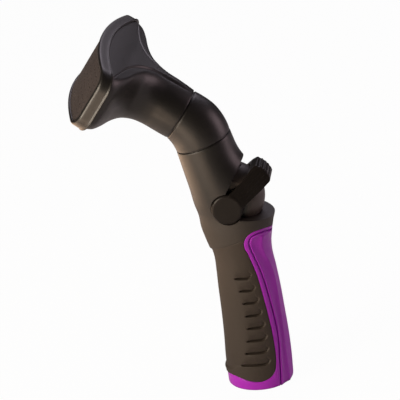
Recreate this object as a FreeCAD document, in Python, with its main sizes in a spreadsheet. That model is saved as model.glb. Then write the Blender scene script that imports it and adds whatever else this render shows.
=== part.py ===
# Handheld bath sprayer: a fan spray head on a bent neck, a thumb valve and a soft-grip handle.
# Frame: origin at the centre of the hose inlet's mouth, +Z up the lower handle,
# -X the way it sprays, -Y and +Y its two sides. Lengths are millimetres, angles degrees.
import FreeCAD, Part
import math
import os

from FreeCAD import Placement, Rotation, Vector

doc = FreeCAD.newDocument("bath_sprayer")
sheet = doc.addObject("Spreadsheet::Sheet", "dims")
X_AXIS, Y_AXIS, Z_AXIS = Vector(1, 0, 0), Vector(0, 1, 0), Vector(0, 0, 1)
ORIGIN = Vector(0, 0, 0)
PARTS = []

# Driving dimensions: the outer form of handle and valve housing.
# Each station is an egg-shaped section: where its centre lies, how far it leans forward,
# and how far the skin stands in front of, behind and beside that centre.
STATIONS = {
    "base": {"x": 0, "z": 0, "lean": 0, "front": 21.2, "back": 21.6, "side": 19.0},
    "heel": {"x": 0, "z": 18, "lean": 0, "front": 21.2, "back": 22.2, "side": 19.0},
    "palm": {"x": 0, "z": 50, "lean": 0, "front": 19.3, "back": 21.2, "side": 18.2},
    "waist": {"x": 0, "z": 92, "lean": 0, "front": 21.4, "back": 16.9, "side": 18.0},
    "shelf": {"x": 0, "z": 119, "lean": 0, "front": 26.3, "back": 22.2, "side": 19.8},
    "shoulder": {"x": -9.0, "z": 142.3, "lean": 12.0, "front": 20.6, "back": 22.0, "side": 19.4},
    "collar": {"x": -16.8, "z": 169.2, "lean": 16.1, "front": 17.4, "back": 17.4, "side": 17.4},
}

DIMENSIONS = {
    # Handle skins
    "skin_wall": 2.2,            # soft grip and back shell over the core
    "grip_front_height": 98.0,   # where the soft grip ends on the front
    "grip_seam_rise": 21.0,      # slope of that seam towards the back
    "ring_height": 7.6,          # foot ring of the back shell
    "panel_top": 113.2,          # upper edge of the back shell
    "panel_corner": 9.0,         # where that edge turns down
    "panel_nose": 2.2,           # furthest forward point of the back shell
    "panel_nose_height": 104.3,
    "panel_knee": 9.6,
    "panel_knee_height": 70.0,
    "panel_foot": 13.0,
    "panel_foot_height": 32.0,
    "panel_toe_height": 15.0,
    "flange_width": 3.6,         # flat border outside the groove
    "groove_width": 1.2,
    "groove_depth": 1.2,
    "rib_pitch": 8.66,           # thumb grooves on both sides of the grip
    "rib_first": 19.3,
    "rib_height": 4.5,
    "rib_depth": 1.2,
    "rib_length": 13.0,
    "rib_tilt": -14.0,
    "rib_swing": 3.0,
    # Valve: the lever turns about the pivot, which lies along Y
    "pivot_x": -5.3,
    "pivot_z": 128.6,
    "barrel_radius": 20.0,
    "barrel_side": 14.5,
    "barrel_half": 13.0,
    "boss_radius": 12.2,         # round sides of the barrel, about the pivot
    "barrel_shift_x": 1.8,
    "barrel_shift_z": 1.4,
    "neck_low_radius": 15.6,
    "neck_top_radius": 15.1,
    "neck_length": 27.0,
    "spigot_radius": 12.5,
    "waterway_radius": 7.0,
    "port_radius": 4.0,          # small enough that a fifty degree swing shuts it
    "plug_radius": 10.5,
    "plug_half": 9.5,
    "journal_radius": 6.0,
    "journal_end": 13.3,
    "square_side": 7.6,
    "square_end": 17.4,
    "bush_start": 9.7,
    "seat_outer": 9.5,
    "seat_depth": 14.0,
    "running_gap": 0.08,
    "fit_gap": 0.05,
    "shell_gap": 0.2,
    # Thumb lever, in its own frame: u along the arm, w across it
    "lever_angle": 36.0,
    "hub_radius": 9.9,
    "lever_half": 20.0,
    "recess_radius": 10.4,
    "nose_reach": 32.4,
    "nose_top": 7.1,
    "nose_low": -6.7,
    "nose_half": 8.4,
    "arm_top": 4.7,
    "arm_low": -6.4,
    "lever_clear_radius": 24.6,
    "lever_clear_side": 15.5,
    "lever_clear_half": 13.4,
    "tooth_radius": 1.0,
    "tooth_pitch": 2.75,
    # Recess in the shell behind the lever
    "notch_top_x": 3.5,
    "notch_top_z": 153.4,
    "notch_low_x": -5.6,
    "notch_low_z": 138.2,
    "shelf_front_x": 1.9,
    "shelf_front_z": 120.7,
    "shelf_back_z": 117.2,
    # Neck elbow
    "bend_radius": 34.8,
    "head_lean": 52.8,
    "elbow_low_radius": 17.4,
    "elbow_top_radius": 16.3,
    "neck_bore": 10.0,
    "socket_radius": 13.45,
    "socket_depth": 10.0,
    "stub_length": 9.5,
    "neck_ring_section": 0.95,
    # Fan head
    "brow_joint_height": 16.3,   # flat top and bottom of the fan, at the joint
    "brow_mouth_height": 20.3,   # and at the mouth
    "brow_tip": 8.0,             # where the flat starts
    "face_radius": 153.0,
    "face_distance": 67.0,
    "mouth_half_width": 60.0,
    "mouth_half_height": 21.0,
    "mouth_corner": 11.0,
    "head_wall": 2.6,
    "rim_depth": 6.5,
    "rim_wall": 1.6,
    "rim_lip": 1.6,
    "rim_lip_thickness": 1.3,
    "face_thickness": 2.0,
    "seal_thickness": 1.0,
    "hole_radius": 0.6,
    "hole_columns": 17,
    "hole_rows": 6,
    "hole_angle": 2.35,
    "hole_row_pitch": 5.2,
    # Water tube and hose inlet
    "inlet_depth": 11.0,
    "inlet_radius": 13.5,
    "washer_outer": 13.8,
    "inlet_outer": 15.9,
    "inlet_height": 20.0,
    "tube_start": 18.0,
    "tube_outer": 9.5,
    "tube_ring_section": 0.8,
    "tube_bottom": 2.0,
    "tube_top": 96.4,
    "tube_socket": 10.0,
    "washer_thickness": 3.0,
    "washer_inner": 8.5,
    "screen_thickness": 0.6,
    "screen_hole": 1.6,
    "screen_pitch": 2.6,
}


def fill_sheet():
    """Writes every driving dimension into the sheet as a number with an alias."""
    row = 1
    for station, sizes in STATIONS.items():
        for part, value in sizes.items():
            alias = station + "_" + part
            sheet.set("A%d" % row, alias)
            sheet.set("B%d" % row, str(value))
            sheet.setAlias("B%d" % row, alias)
            row += 1
    for alias, value in DIMENSIONS.items():
        sheet.set("A%d" % row, alias)
        sheet.set("B%d" % row, str(value))
        sheet.setAlias("B%d" % row, alias)
        row += 1
    doc.recompute()


def dim(alias):
    """The value of a cell of the sheet."""
    return float(sheet.get(alias))


fill_sheet()


def leaning(x, z, lean):
    """A frame at (x, 0, z) whose own Z leans forward, towards -X."""
    return Placement(Vector(x, 0, z), Rotation(Y_AXIS, -lean))


def across(x, z, start):
    """A frame whose own Z points along +Y, starting at y = start."""
    return Placement(Vector(x, start, z), Rotation(X_AXIS, -90))


# Frames that several pieces share
pivot = Vector(dim("pivot_x"), 0, dim("pivot_z"))
neck_frame = leaning(dim("collar_x"), dim("collar_z"), dim("collar_lean"))
neck_turn = math.radians(dim("collar_lean"))
head_turn = math.radians(dim("head_lean"))
bend_centre = Vector(
    dim("collar_x") - dim("bend_radius") * math.cos(neck_turn),
    0,
    dim("collar_z") - dim("bend_radius") * math.sin(neck_turn),
)
head_frame = leaning(
    bend_centre.x + dim("bend_radius") * math.cos(head_turn),
    bend_centre.z + dim("bend_radius") * math.sin(head_turn),
    dim("head_lean"),
)
tube_rise = dim("pivot_z") - dim("tube_start")
tube_lean = math.degrees(math.atan2(-dim("pivot_x"), tube_rise))
tube_length = math.hypot(dim("pivot_x"), tube_rise)
tube_frame = leaning(0, dim("tube_start"), tube_lean)
lever_frame = leaning(dim("pivot_x"), dim("pivot_z"), dim("lever_angle"))
port_lean = math.degrees(
    math.atan2(dim("pivot_x") - dim("collar_x"), dim("collar_z") - dim("pivot_z"))
)
port_frame = leaning(dim("pivot_x"), dim("pivot_z"), port_lean)


def feature(name, shape, placement=None):
    """A scripted feature, for shapes that neither a sketch nor a primitive gives."""
    obj = doc.addObject("Part::Feature", name)
    obj.Shape = shape
    if placement is not None:
        obj.Placement = placement
    return obj


def cylinder(name, radius, height, placement=None):
    """A cylinder whose radius and height are expressions on the sheet."""
    obj = doc.addObject("Part::Cylinder", name)
    obj.setExpression("Radius", radius)
    obj.setExpression("Height", height)
    if placement is not None:
        obj.Placement = placement
    return obj


def box(name, length, width, height, placement):
    """A box whose three sizes are expressions on the sheet."""
    obj = doc.addObject("Part::Box", name)
    obj.setExpression("Length", length)
    obj.setExpression("Width", width)
    obj.setExpression("Height", height)
    obj.Placement = placement
    return obj


def cut(name, base, tool):
    """base without tool."""
    obj = doc.addObject("Part::Cut", name)
    obj.Base = base
    obj.Tool = tool
    return obj


def fuse(name, shapes):
    """All shapes as one solid."""
    obj = doc.addObject("Part::MultiFuse", name)
    obj.Shapes = shapes
    obj.Refine = True
    return obj


def common(name, base, tool):
    """What base and tool share."""
    obj = doc.addObject("Part::Common", name)
    obj.Base = base
    obj.Tool = tool
    return obj


def extrude(name, profile, direction, length, symmetric=False):
    """The solid that a closed flat profile sweeps along a direction."""
    obj = doc.addObject("Part::Extrusion", name)
    obj.Base = profile
    obj.DirMode = "Custom"
    obj.Dir = direction
    obj.setExpression("LengthFwd", length)
    obj.Solid = True
    obj.Symmetric = symmetric
    return obj


def keep(obj, label):
    """Names a finished piece. Its label becomes its file name."""
    obj.Label = label
    PARTS.append(obj)
    return obj


def plane_of(body, role):
    """One of a body's own origin planes."""
    return next(plane for plane in body.Origin.OriginFeatures if plane.Role == role)


def flat_ring(name, inner, outer, height, placement):
    """A PartDesign body: two circles padded to a flat ring."""
    body = doc.addObject("PartDesign::Body", name)
    sketch = body.newObject("Sketcher::SketchObject", name + "_sketch")
    sketch.AttachmentSupport = [(plane_of(body, "XY_Plane"), "")]
    sketch.MapMode = "FlatFace"
    for number, radius in enumerate((outer, inner)):
        circle = sketch.addGeometry(Part.Circle(ORIGIN, Z_AXIS, 10.0 - 4 * number), False)
        sketch.addConstraint(sketcher_constraint("Coincident", circle, 3, -1, 1))
        index = sketch.addConstraint(sketcher_constraint("Radius", circle, 10.0 - 4 * number))
        sketch.setExpression("Constraints[%d]" % index, radius)
    pad = body.newObject("PartDesign::Pad", name + "_pad")
    pad.Profile = sketch
    pad.setExpression("Length", height)
    body.Tip = pad
    body.Placement = placement
    return body


def round_ring(name, centre_radius, section, placement):
    """A PartDesign body: a circle revolved to an O-ring about its own Z axis."""
    body = doc.addObject("PartDesign::Body", name)
    sketch = body.newObject("Sketcher::SketchObject", name + "_sketch")
    sketch.AttachmentSupport = [(plane_of(body, "XZ_Plane"), "")]
    sketch.MapMode = "FlatFace"
    circle = sketch.addGeometry(Part.Circle(Vector(10, 0, 0), Z_AXIS, 1.0), False)
    across_axis = sketch.addConstraint(sketcher_constraint("DistanceX", -1, 1, circle, 3, 10.0))
    sketch.setExpression("Constraints[%d]" % across_axis, centre_radius)
    sketch.addConstraint(sketcher_constraint("PointOnObject", circle, 3, -1))
    radius = sketch.addConstraint(sketcher_constraint("Radius", circle, 1.0))
    sketch.setExpression("Constraints[%d]" % radius, section)
    turn = body.newObject("PartDesign::Revolution", name + "_turn")
    turn.Profile = sketch
    turn.ReferenceAxis = (sketch, ["V_Axis"])
    turn.Angle = 360
    body.Tip = turn
    body.Placement = placement
    return body


def sketcher_constraint(*values):
    """A sketch constraint, with the module loaded where it is first needed."""
    import Sketcher
    return Sketcher.Constraint(*values)


# The egg-shaped outer form
HALF_SPANS = 8


def egg_wire(station, inset):
    """A station's section, drawn in by the inset: two mirrored curves that meet at front and back."""
    side = dim(station + "_side") - inset
    halves = []
    for sign in (1, -1):
        points = []
        for number in range(HALF_SPANS + 1):
            angle = sign * math.pi * number / HALF_SPANS
            end = "_back" if number * 2 < HALF_SPANS else "_front"
            reach = dim(station + end) - inset
            points.append(Vector(reach * math.cos(angle), side * math.sin(angle), 0))
        points[0].y = points[-1].y = 0
        curve = Part.BSplineCurve()
        curve.interpolate(Points=points, InitialTangent=Vector(0, sign, 0), FinalTangent=Vector(0, -sign, 0))
        halves.append(curve.toShape())
    wire = Part.Wire(Part.__sortEdges__(halves))
    wire.Placement = leaning(dim(station + "_x"), dim(station + "_z"), dim(station + "_lean"))
    return wire


def outer_form(name, inset):
    """Handle and housing from the foot to the collar, lofted through the stations."""
    sections = [egg_wire(station, inset) for station in STATIONS]
    return feature(name, Part.makeLoft(sections, True, False))


def side_outline(name, points, curved):
    """A closed outline in the XZ plane: straight runs, with one curved run through points."""
    corners = [Vector(x, 0, z) for x, z in points]
    bend = Part.BSplineCurve()
    bend.interpolate([Vector(x, 0, z) for x, z in curved])
    edges = [bend.toShape()]
    run = [Vector(*curved[-1][:1], 0, curved[-1][1])] + corners + [Vector(curved[0][0], 0, curved[0][1])]
    for start, end in zip(run, run[1:]):
        edges.append(Part.LineSegment(start, end).toShape())
    return feature(name, Part.Face(Part.Wire(edges)))


FAR = 60.0


def back_panel_outline(name, inset, foot):
    """The back shell's border seen from the side, drawn in by the inset."""
    border = [
        (dim("panel_corner") + inset, dim("panel_top") - inset),
        (dim("panel_nose") + inset + 1.9, dim("panel_nose_height") + 6.0 - inset),
        (dim("panel_nose") + inset, dim("panel_nose_height")),
        (dim("panel_knee") + inset, dim("panel_knee_height")),
        (dim("panel_foot") + inset, dim("panel_foot_height")),
        (dim("panel_foot") + inset, dim("panel_toe_height")),
    ]
    slope = (dim("panel_top") - dim("shelf_back_z")) / (dim("panel_corner") - dim("shelf_back"))
    top_right = (FAR, dim("panel_top") - inset + slope * (FAR - dim("panel_corner")) * 0.6)
    return side_outline(name, foot + [(FAR, -FAR), top_right], border)


def make_handle():
    """Core halves, soft grip and back shell, all cut from the same lofted form."""
    outer = outer_form("outer_form", 0.0)
    core = outer_form("core_form", dim("skin_wall"))
    skin = cut("skin_form", outer, core)
    seam = Placement(
        Vector(-dim("base_front"), -FAR, dim("grip_front_height")),
        Rotation(Y_AXIS, -dim("grip_seam_rise")),
    )
    above = feature("above_seam", Part.makeBox(4 * FAR, 2 * FAR, 4 * FAR, Vector(-FAR, 0, 0)), seam)
    ring_top = dim("ring_height")
    step = [(6.5, ring_top), (-FAR, ring_top), (-FAR, -FAR)]
    panel_face = back_panel_outline("panel_outline", 0.0, step)
    panel = extrude("panel_prism", panel_face, Y_AXIS, "2 * %g" % FAR, True)

    back = common("back_blank", skin, panel)
    flange = dim("flange_width")
    low = -FAR
    groove_out = back_panel_outline("groove_outline", flange, [(dim("panel_foot") + flange, low)])
    far_side = flange + dim("groove_width")
    groove_in = back_panel_outline("groove_inner", far_side, [(dim("panel_foot") + far_side, low)])
    band = cut(
        "groove_band",
        extrude("groove_prism", groove_out, Y_AXIS, "2 * %g" % FAR, True),
        extrude("groove_core", groove_in, Y_AXIS, "2 * %g" % FAR, True),
    )
    floor = outer_form("groove_floor", dim("groove_depth"))
    groove = cut("groove", band, floor)
    keep(cut("back_shell_piece", back, groove), "back_shell")

    below = cut("skin_below_seam", skin, above)
    grip = cut("grip_blank", below, panel)
    keep(cut("soft_grip_piece", grip, rib_cuts()), "soft_grip")

    upper = cut("shell_upper", common("shell_above_seam", outer, above), panel)
    body = fuse("shell_blank", [upper, core])
    hollow = fuse("shell_hollow", shell_hollows())
    shell = cut("shell_whole", body, hollow)
    for name, start in (("body_shell_left", -FAR), ("body_shell_right", 0.0)):
        half = feature(name + "_side", Part.makeBox(4 * FAR, FAR, 5 * FAR, Vector(-2 * FAR, start, -FAR)))
        keep(common(name + "_piece", shell, half), name)


def rib_cuts():
    """Short notches up both sides of the grip, deep at their lower edge and fading upwards."""
    slots = []
    for number in range(8):
        height = dim("rib_first") + number * dim("rib_pitch")
        back = rib_end(height)
        for side in (-1, 1):
            slot = Part.makeBox(dim("rib_length"), FAR, dim("rib_height"), Vector(-dim("rib_length"), 0, 0))
            tilt = Rotation(X_AXIS, dim("rib_tilt")).multiply(Rotation(Z_AXIS, dim("rib_swing")))
            slot.Placement = Placement(Vector(back, dim("palm_side") - dim("rib_depth"), height), tilt)
            if side < 0:
                slot = slot.mirror(ORIGIN, Y_AXIS)
            slots.append(slot)
    return feature("rib_slots", Part.makeCompound(slots))


def rib_end(height):
    """How far back a rib reaches: it stays clear of the back shell's border."""
    knee, foot = dim("panel_knee_height"), dim("panel_foot_height")
    share = max(0.0, (height - foot) / (knee - foot))
    return dim("panel_foot") + (dim("panel_knee") - dim("panel_foot")) * share ** 1.5 - 3.4


def shell_hollows():
    """Everything that is cut out of the two core halves."""
    gap = dim("shell_gap")
    hollows = valve_forms("hollow", "dims.shell_gap")
    notch = [
        Vector(dim("notch_low_x"), 0, dim("notch_low_z")),
        Vector(dim("notch_top_x"), 0, dim("notch_top_z")),
        Vector(FAR, 0, dim("notch_top_z") + FAR * 0.9),
        Vector(FAR, 0, dim("shelf_back_z") - (FAR - dim("shelf_back")) * shelf_fall()),
        Vector(dim("shelf_front_x"), 0, dim("shelf_front_z")),
    ]
    face = feature("notch_outline", Part.Face(Part.makePolygon(notch + notch[:1])))
    hollows.append(extrude("notch", face, Y_AXIS, "2 * %g" % FAR, True))
    recess = cylinder("lever_recess", "dims.recess_radius", "2 * %g" % FAR, across(pivot.x, pivot.z, -FAR))
    keep_core = box(
        "recess_core", "4 * dims.recess_radius", "2 * dims.barrel_half", "4 * dims.recess_radius",
        Placement(pivot - Vector(2 * dim("recess_radius"), dim("barrel_half"), 2 * dim("recess_radius")), Rotation()),
    )
    hollows.append(cut("recess_cut", recess, keep_core))
    hollows.append(cylinder("tube_way", "dims.tube_outer + dims.shell_gap", "dims.tube_top", tube_frame))
    hollows.append(cylinder("spigot_way", "dims.spigot_radius + dims.shell_gap",
                            "dims.tube_socket + 2 * dims.tube_bottom + dims.shell_gap", tube_frame))
    below = Placement(Vector(0, 0, -gap), Rotation())
    hollows.append(cylinder("inlet_way", "dims.inlet_outer + dims.shell_gap",
                            "dims.inlet_height + 2 * dims.shell_gap", below))
    return hollows


def shelf_fall():
    """Slope of the shelf behind the lever."""
    return (dim("shelf_front_z") - dim("shelf_back_z")) / (dim("shelf_back") - dim("shelf_front_x"))


def valve_forms(name, gap):
    """Barrel, neck and spigot of the valve body, each grown by a gap."""
    ball = doc.addObject("Part::Ellipsoid", name + "_ball")
    ball.setExpression("Radius1", "dims.barrel_radius + " + gap)
    ball.setExpression("Radius2", "dims.barrel_radius + " + gap)
    ball.setExpression("Radius3", "dims.barrel_side + " + gap)
    centre = pivot + Vector(dim("barrel_shift_x"), 0, dim("barrel_shift_z"))
    ball.Placement = Placement(centre, Rotation())
    slab = box(
        name + "_slab", "4 * dims.barrel_radius", "2 * (dims.barrel_half + %s)" % gap,
        "4 * dims.barrel_radius",
        Placement(centre - Vector(2 * dim("barrel_radius"), 0, 2 * dim("barrel_radius")), Rotation()),
    )
    slab.setExpression("Placement.Base.y", "-dims.barrel_half - " + gap)
    barrel = common(name + "_barrel", ball, slab)
    boss = cylinder(name + "_boss", "dims.boss_radius + " + gap, "2 * (dims.barrel_half + %s)" % gap,
                    across(pivot.x, pivot.z, -dim("barrel_half")))
    boss.setExpression("Placement.Base.y", "-dims.barrel_half - " + gap)
    neck = doc.addObject("Part::Cone", name + "_neck")
    neck.setExpression("Radius1", "dims.neck_low_radius + " + gap)
    neck.setExpression("Radius2", "dims.neck_top_radius + " + gap)
    neck.setExpression("Height", "dims.neck_length")
    neck.Placement = neck_frame.multiply(Placement(Vector(0, 0, -dim("neck_length")), Rotation()))
    spigot = cylinder(
        name + "_spigot", "dims.spigot_radius + " + gap, "dims.tube_socket + 8 + " + gap,
        tube_frame.multiply(Placement(Vector(0, 0, spigot_bottom()), Rotation())),
    )
    spigot.setExpression("Height", "dims.tube_socket + 8")
    return [barrel, boss, neck, spigot]


def spigot_bottom():
    """Height of the valve body's lower end along the water tube."""
    return dim("tube_top") - dim("tube_socket") + dim("shell_gap")


def along(frame, distance):
    """The same frame moved along its own Z."""
    return frame.multiply(Placement(Vector(0, 0, distance), Rotation()))


def make_valve():
    """Valve body, plug, its seals and bushes, all about the pivot."""
    body = fuse("valve_blank", valve_forms("valve", "0"))
    ways = [
        cylinder("way_up", "dims.waterway_radius", "2 * dims.neck_length", port_frame),
        cylinder("way_down", "dims.waterway_radius", "dims.pivot_z / 2",
                 tube_frame.multiply(Placement(Vector(0, 0, tube_length - dim("pivot_z") / 2), Rotation()))),
        cylinder("neck_socket", "dims.socket_radius", "2 * dims.socket_depth", along(neck_frame, -dim("socket_depth"))),
        cylinder("tube_socket", "dims.tube_outer + dims.fit_gap", "dims.tube_socket + dims.fit_gap",
                 along(tube_frame, spigot_bottom() - dim("fit_gap"))),
        cylinder("plug_bore", "dims.plug_radius + dims.running_gap", "4 * dims.barrel_half",
                 across(pivot.x, pivot.z, -2 * dim("barrel_half"))),
    ]
    seat_frames = {"upper": port_frame, "lower": tube_seat_frame()}
    for side, frame in seat_frames.items():
        ways.append(cylinder(side + "_pocket", "dims.seat_outer + dims.fit_gap", "dims.seat_depth", frame))
    keep(cut("valve_body_piece", body, fuse("valve_ways", ways)), "valve_body")

    seats = []
    for side, frame in seat_frames.items():
        solid = cylinder(side + "_seat_outer", "dims.seat_outer", "dims.seat_depth - dims.fit_gap", frame)
        hole = cylinder(side + "_seat_hole", "dims.port_radius", "dims.seat_depth", frame)
        seats.append(cut(side + "_seat_ring", solid, hole))
    sweep = cylinder("seat_sweep", "dims.plug_radius + dims.running_gap", "4 * dims.barrel_half",
                     across(pivot.x, pivot.z, -2 * dim("barrel_half")))
    keep(cut("seat_seals_piece", fuse("seat_blank", seats), sweep), "seat_seals")
    make_plug()


def tube_seat_frame():
    """At the pivot, looking down the water tube."""
    return Placement(pivot, tube_frame.Rotation.multiply(Rotation(X_AXIS, 180)))


def make_plug():
    """The plug that the lever turns, with its O-rings, and the bushes that carry it."""
    half = dim("plug_half")
    end = dim("journal_end")
    square = dim("square_side") / 2
    plug = [
        cylinder("plug_barrel", "dims.plug_radius", "2 * dims.plug_half", across(pivot.x, pivot.z, -half)),
        cylinder("plug_journal", "dims.journal_radius", "2 * dims.journal_end", across(pivot.x, pivot.z, -end)),
        box("plug_square", "dims.square_side", "2 * dims.square_end", "dims.square_side",
            lever_frame.multiply(Placement(Vector(-square, -dim("square_end"), -square), Rotation()))),
    ]
    bore = leaning(pivot.x, pivot.z, (port_lean + tube_lean) / 2 - 10)
    cuts = [cylinder("plug_bore_way", "dims.port_radius", "4 * dims.plug_radius",
                     along(bore, -2 * dim("plug_radius")))]
    rings = []
    middle = (dim("bush_start") + dim("barrel_half")) / 2
    for side, sign in (("left", -1), ("right", 1)):
        place = across(pivot.x, pivot.z, sign * middle)
        rings.append(round_ring(side + "_plug_ring", "dims.journal_radius - dims.tube_ring_section - dims.fit_gap",
                                "dims.tube_ring_section", place))
        cuts.append(ring_groove(side + "_plug_groove", "dims.journal_radius",
                                "dims.tube_ring_section", place))
    keep(cut("valve_plug_piece", fuse("plug_blank", plug), fuse("plug_cuts", cuts)), "valve_plug")
    keep(group("plug_o_rings_piece", rings), "plug_o_rings")

    bushes = []
    for side, start in (("left", -dim("barrel_half")), ("right", dim("bush_start"))):
        bushes.append(flat_ring(side + "_bush", "dims.journal_radius + dims.running_gap", "dims.plug_radius",
                                "dims.barrel_half - dims.bush_start", across(pivot.x, pivot.z, start)))
    keep(group("plug_bushes_piece", bushes), "plug_bushes")


def group(name, pieces):
    """Like pieces in one node, each still a solid of its own."""
    obj = doc.addObject("Part::Compound", name)
    obj.Links = pieces
    return obj


def ring_groove(name, radius, section, place):
    """The square groove that an O-ring sits in, cut in from a cylinder's skin."""
    low = along(place, -dim("tube_ring_section") * 1.1 if "tube" in section else -dim("neck_ring_section") * 1.1)
    outside = cylinder(name + "_outside", "2 * (%s)" % radius, "2.2 * " + section, low)
    inside = cylinder(name + "_inside", "%s - 2 * %s - 2 * dims.fit_gap" % (radius, section),
                      "2.2 * " + section, low)
    return cut(name, outside, inside)


def make_lever():
    """Thumb lever: two hubs, two arms that close in to a toothed nose, in its own frame."""
    side_points = [
        Vector(0, 0, dim("arm_top") - 0.6),
        Vector(dim("hub_radius"), 0, dim("arm_top")),
        Vector(dim("nose_reach") - 1.4, 0, dim("nose_top")),
    ]
    low_points = [
        Vector(dim("nose_reach") - 2.9, 0, dim("nose_low")),
        Vector(dim("hub_radius") - 2, 0, dim("arm_low")),
        Vector(0, 0, dim("arm_low") + 1.4),
    ]
    tip = Vector(dim("nose_reach"), 0, 0.4)
    edges = [Part.LineSegment(a, b).toShape() for a, b in zip(side_points, side_points[1:])]
    edges.append(Part.Arc(side_points[-1], tip, low_points[0]).toShape())
    edges += [Part.LineSegment(a, b).toShape() for a, b in zip(low_points, low_points[1:])]
    edges.append(Part.LineSegment(low_points[-1], side_points[0]).toShape())
    arm = extrude("arm", feature("arm_outline", Part.Face(Part.Wire(edges))), Y_AXIS,
                  "2 * dims.lever_half", True)
    hub = cylinder("lever_hubs", "dims.hub_radius", "2 * dims.lever_half", across(0, 0, -dim("lever_half")))
    side_form = fuse("lever_side_form", [arm, hub])

    half, nose, reach = dim("lever_half"), dim("nose_half"), dim("nose_reach")
    plan = [
        Vector(-reach, half, 0), Vector(dim("hub_radius") - 2, half, 0), Vector(reach - 2.4, nose, 0),
        Vector(reach + 2, nose - 0.9, 0),
    ]
    plan += [Vector(p.x, -p.y, 0) for p in reversed(plan)]
    plan_form = extrude("lever_plan_form", feature("plan_outline", Part.Face(Part.makePolygon(plan + plan[:1]))),
                        Z_AXIS, "2 * dims.lever_half", True)
    blank = common("lever_blank", side_form, plan_form)

    room = doc.addObject("Part::Ellipsoid", "lever_room")
    room.setExpression("Radius1", "dims.lever_clear_radius")
    room.setExpression("Radius2", "dims.lever_clear_radius")
    room.setExpression("Radius3", "dims.lever_clear_side")
    slab = box("lever_room_slab", "2 * dims.lever_clear_radius", "2 * dims.lever_clear_half",
               "2 * dims.lever_clear_radius",
               Placement(Vector(-dim("lever_clear_radius"), -dim("lever_clear_half"),
                                -dim("lever_clear_radius")), Rotation()))
    square = dim("square_side") / 2 + dim("fit_gap")
    drive = box("lever_drive", "dims.square_side + 2 * dims.fit_gap",
                "2 * (dims.square_end + dims.fit_gap)", "dims.square_side + 2 * dims.fit_gap",
                Placement(Vector(-square, -dim("square_end") - dim("fit_gap"), -square), Rotation()))
    teeth = []
    for number in range(4):
        height = dim("nose_top") - (number + 0.95) * dim("tooth_pitch")
        teeth.append(cylinder("tooth_gap_%d" % number, "dims.tooth_radius", "2 * dims.lever_half",
                              across(reach + 0.25, height, -half)))
    away = fuse("lever_cuts", [common("lever_room_form", room, slab), drive] + teeth)
    lever = cut("thumb_lever_piece", blank, away)
    lever.Placement = lever_frame
    keep(lever, "thumb_lever")


def make_elbow():
    """The bent neck between valve and head: a tapering sweep with a plug-in stub at each end."""
    path = doc.addObject("Part::Circle", "bend_path")
    path.setExpression("Radius", "dims.bend_radius")
    path.setExpression("Angle1", "dims.collar_lean")
    path.setExpression("Angle2", "dims.head_lean")
    path.Placement = Placement(bend_centre, Rotation(X_AXIS, 90))
    forms = {}
    for kind, low, high in (
        ("skin", "dims.elbow_low_radius", "dims.elbow_top_radius"),
        ("bore", "dims.neck_bore", "dims.neck_bore"),
    ):
        rings = []
        for end, radius, frame in (("low", low, neck_frame), ("top", high, head_frame)):
            ring = doc.addObject("Part::Circle", "elbow_%s_%s" % (kind, end))
            ring.setExpression("Radius", radius)
            ring.Placement = frame
            rings.append(ring)
        sweep = doc.addObject("Part::Sweep", "elbow_" + kind)
        sweep.Sections = rings
        sweep.Spine = (path, ["Edge1"])
        sweep.Solid = True
        sweep.Frenet = True
        forms[kind] = sweep
    stubs, ways, seals = [], [forms["bore"]], []
    length = dim("stub_length")
    for end, frame, start, ring_at in (("low", neck_frame, -length, -length / 2), ("top", head_frame, 0, length / 2)):
        stubs.append(cylinder("elbow_stub_" + end, "dims.socket_radius - dims.fit_gap * 3",
                              "dims.stub_length", along(frame, start)))
        ways.append(cylinder("elbow_way_" + end, "dims.neck_bore", "dims.stub_length", along(frame, start)))
        place = along(frame, ring_at)
        ways.append(ring_groove("elbow_groove_" + end, "dims.socket_radius", "dims.neck_ring_section", place))
        seals.append(round_ring("elbow_ring_" + end,
                                "dims.socket_radius - dims.neck_ring_section - dims.fit_gap",
                                "dims.neck_ring_section", place))
    solid = fuse("elbow_solid", [forms["skin"]] + stubs)
    keep(cut("elbow_piece", solid, fuse("elbow_ways", ways)), "neck_elbow")
    keep(seals[0], "neck_o_ring")
    keep(seals[1], "head_o_ring")


# Fan head, in the frame of its joint with the elbow: Z along the spray, Y across the fan
HEAD_STATIONS = {
    "joint": {"at": 0.0, "wide": 16.3, "thick": 16.3, "round": 16.0},
    "sleeve": {"at": 7.0, "wide": 16.3, "thick": 16.3, "round": 16.0},
    "neck": {"at": 14.0, "wide": 16.3, "thick": 16.3, "round": 16.0},
    "nape": {"at": 21.0, "wide": 16.6, "thick": 16.5, "round": 15.9},
    "throat": {"at": 27.0, "wide": 18.6, "thick": 16.8, "round": 15.2},
    "flare": {"at": 32.0, "wide": 22.8, "thick": 17.2, "round": 14.2},
    "wing": {"at": 37.0, "wide": 31.5, "thick": 17.7, "round": 13.0},
    "spread": {"at": 41.5, "wide": 45.0, "thick": 18.2, "round": 12.0},
    "back": {"at": 46.0, "wide": 55.5, "thick": 18.8, "round": 11.0},
    "band": {"at": 51.0, "wide": 58.7, "thick": 19.4, "round": 10.2},
    "mouth": {"at": 60.0, "wide": 59.0, "thick": 20.0, "round": 10.0},
    "end": {"at": 72.0, "wide": 59.0, "thick": 20.0, "round": 10.0},
}

# Edge of the flat top and bottom of the fan: half width against the distance from the joint
BROW_EDGE = {
    "tip": {"half": 1.2, "at": 9.0},
    "ridge": {"half": 3.2, "at": 17.0},
    "spread": {"half": 8.5, "at": 27.0},
    "waist": {"half": 11.6, "at": 34.0},
    "turn": {"half": 17.0, "at": 38.7},
    "wing": {"half": 24.0, "at": 42.0},
    "brow": {"half": 35.5, "at": 45.4},
    "temple": {"half": 50.0, "at": 48.3},
}


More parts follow.
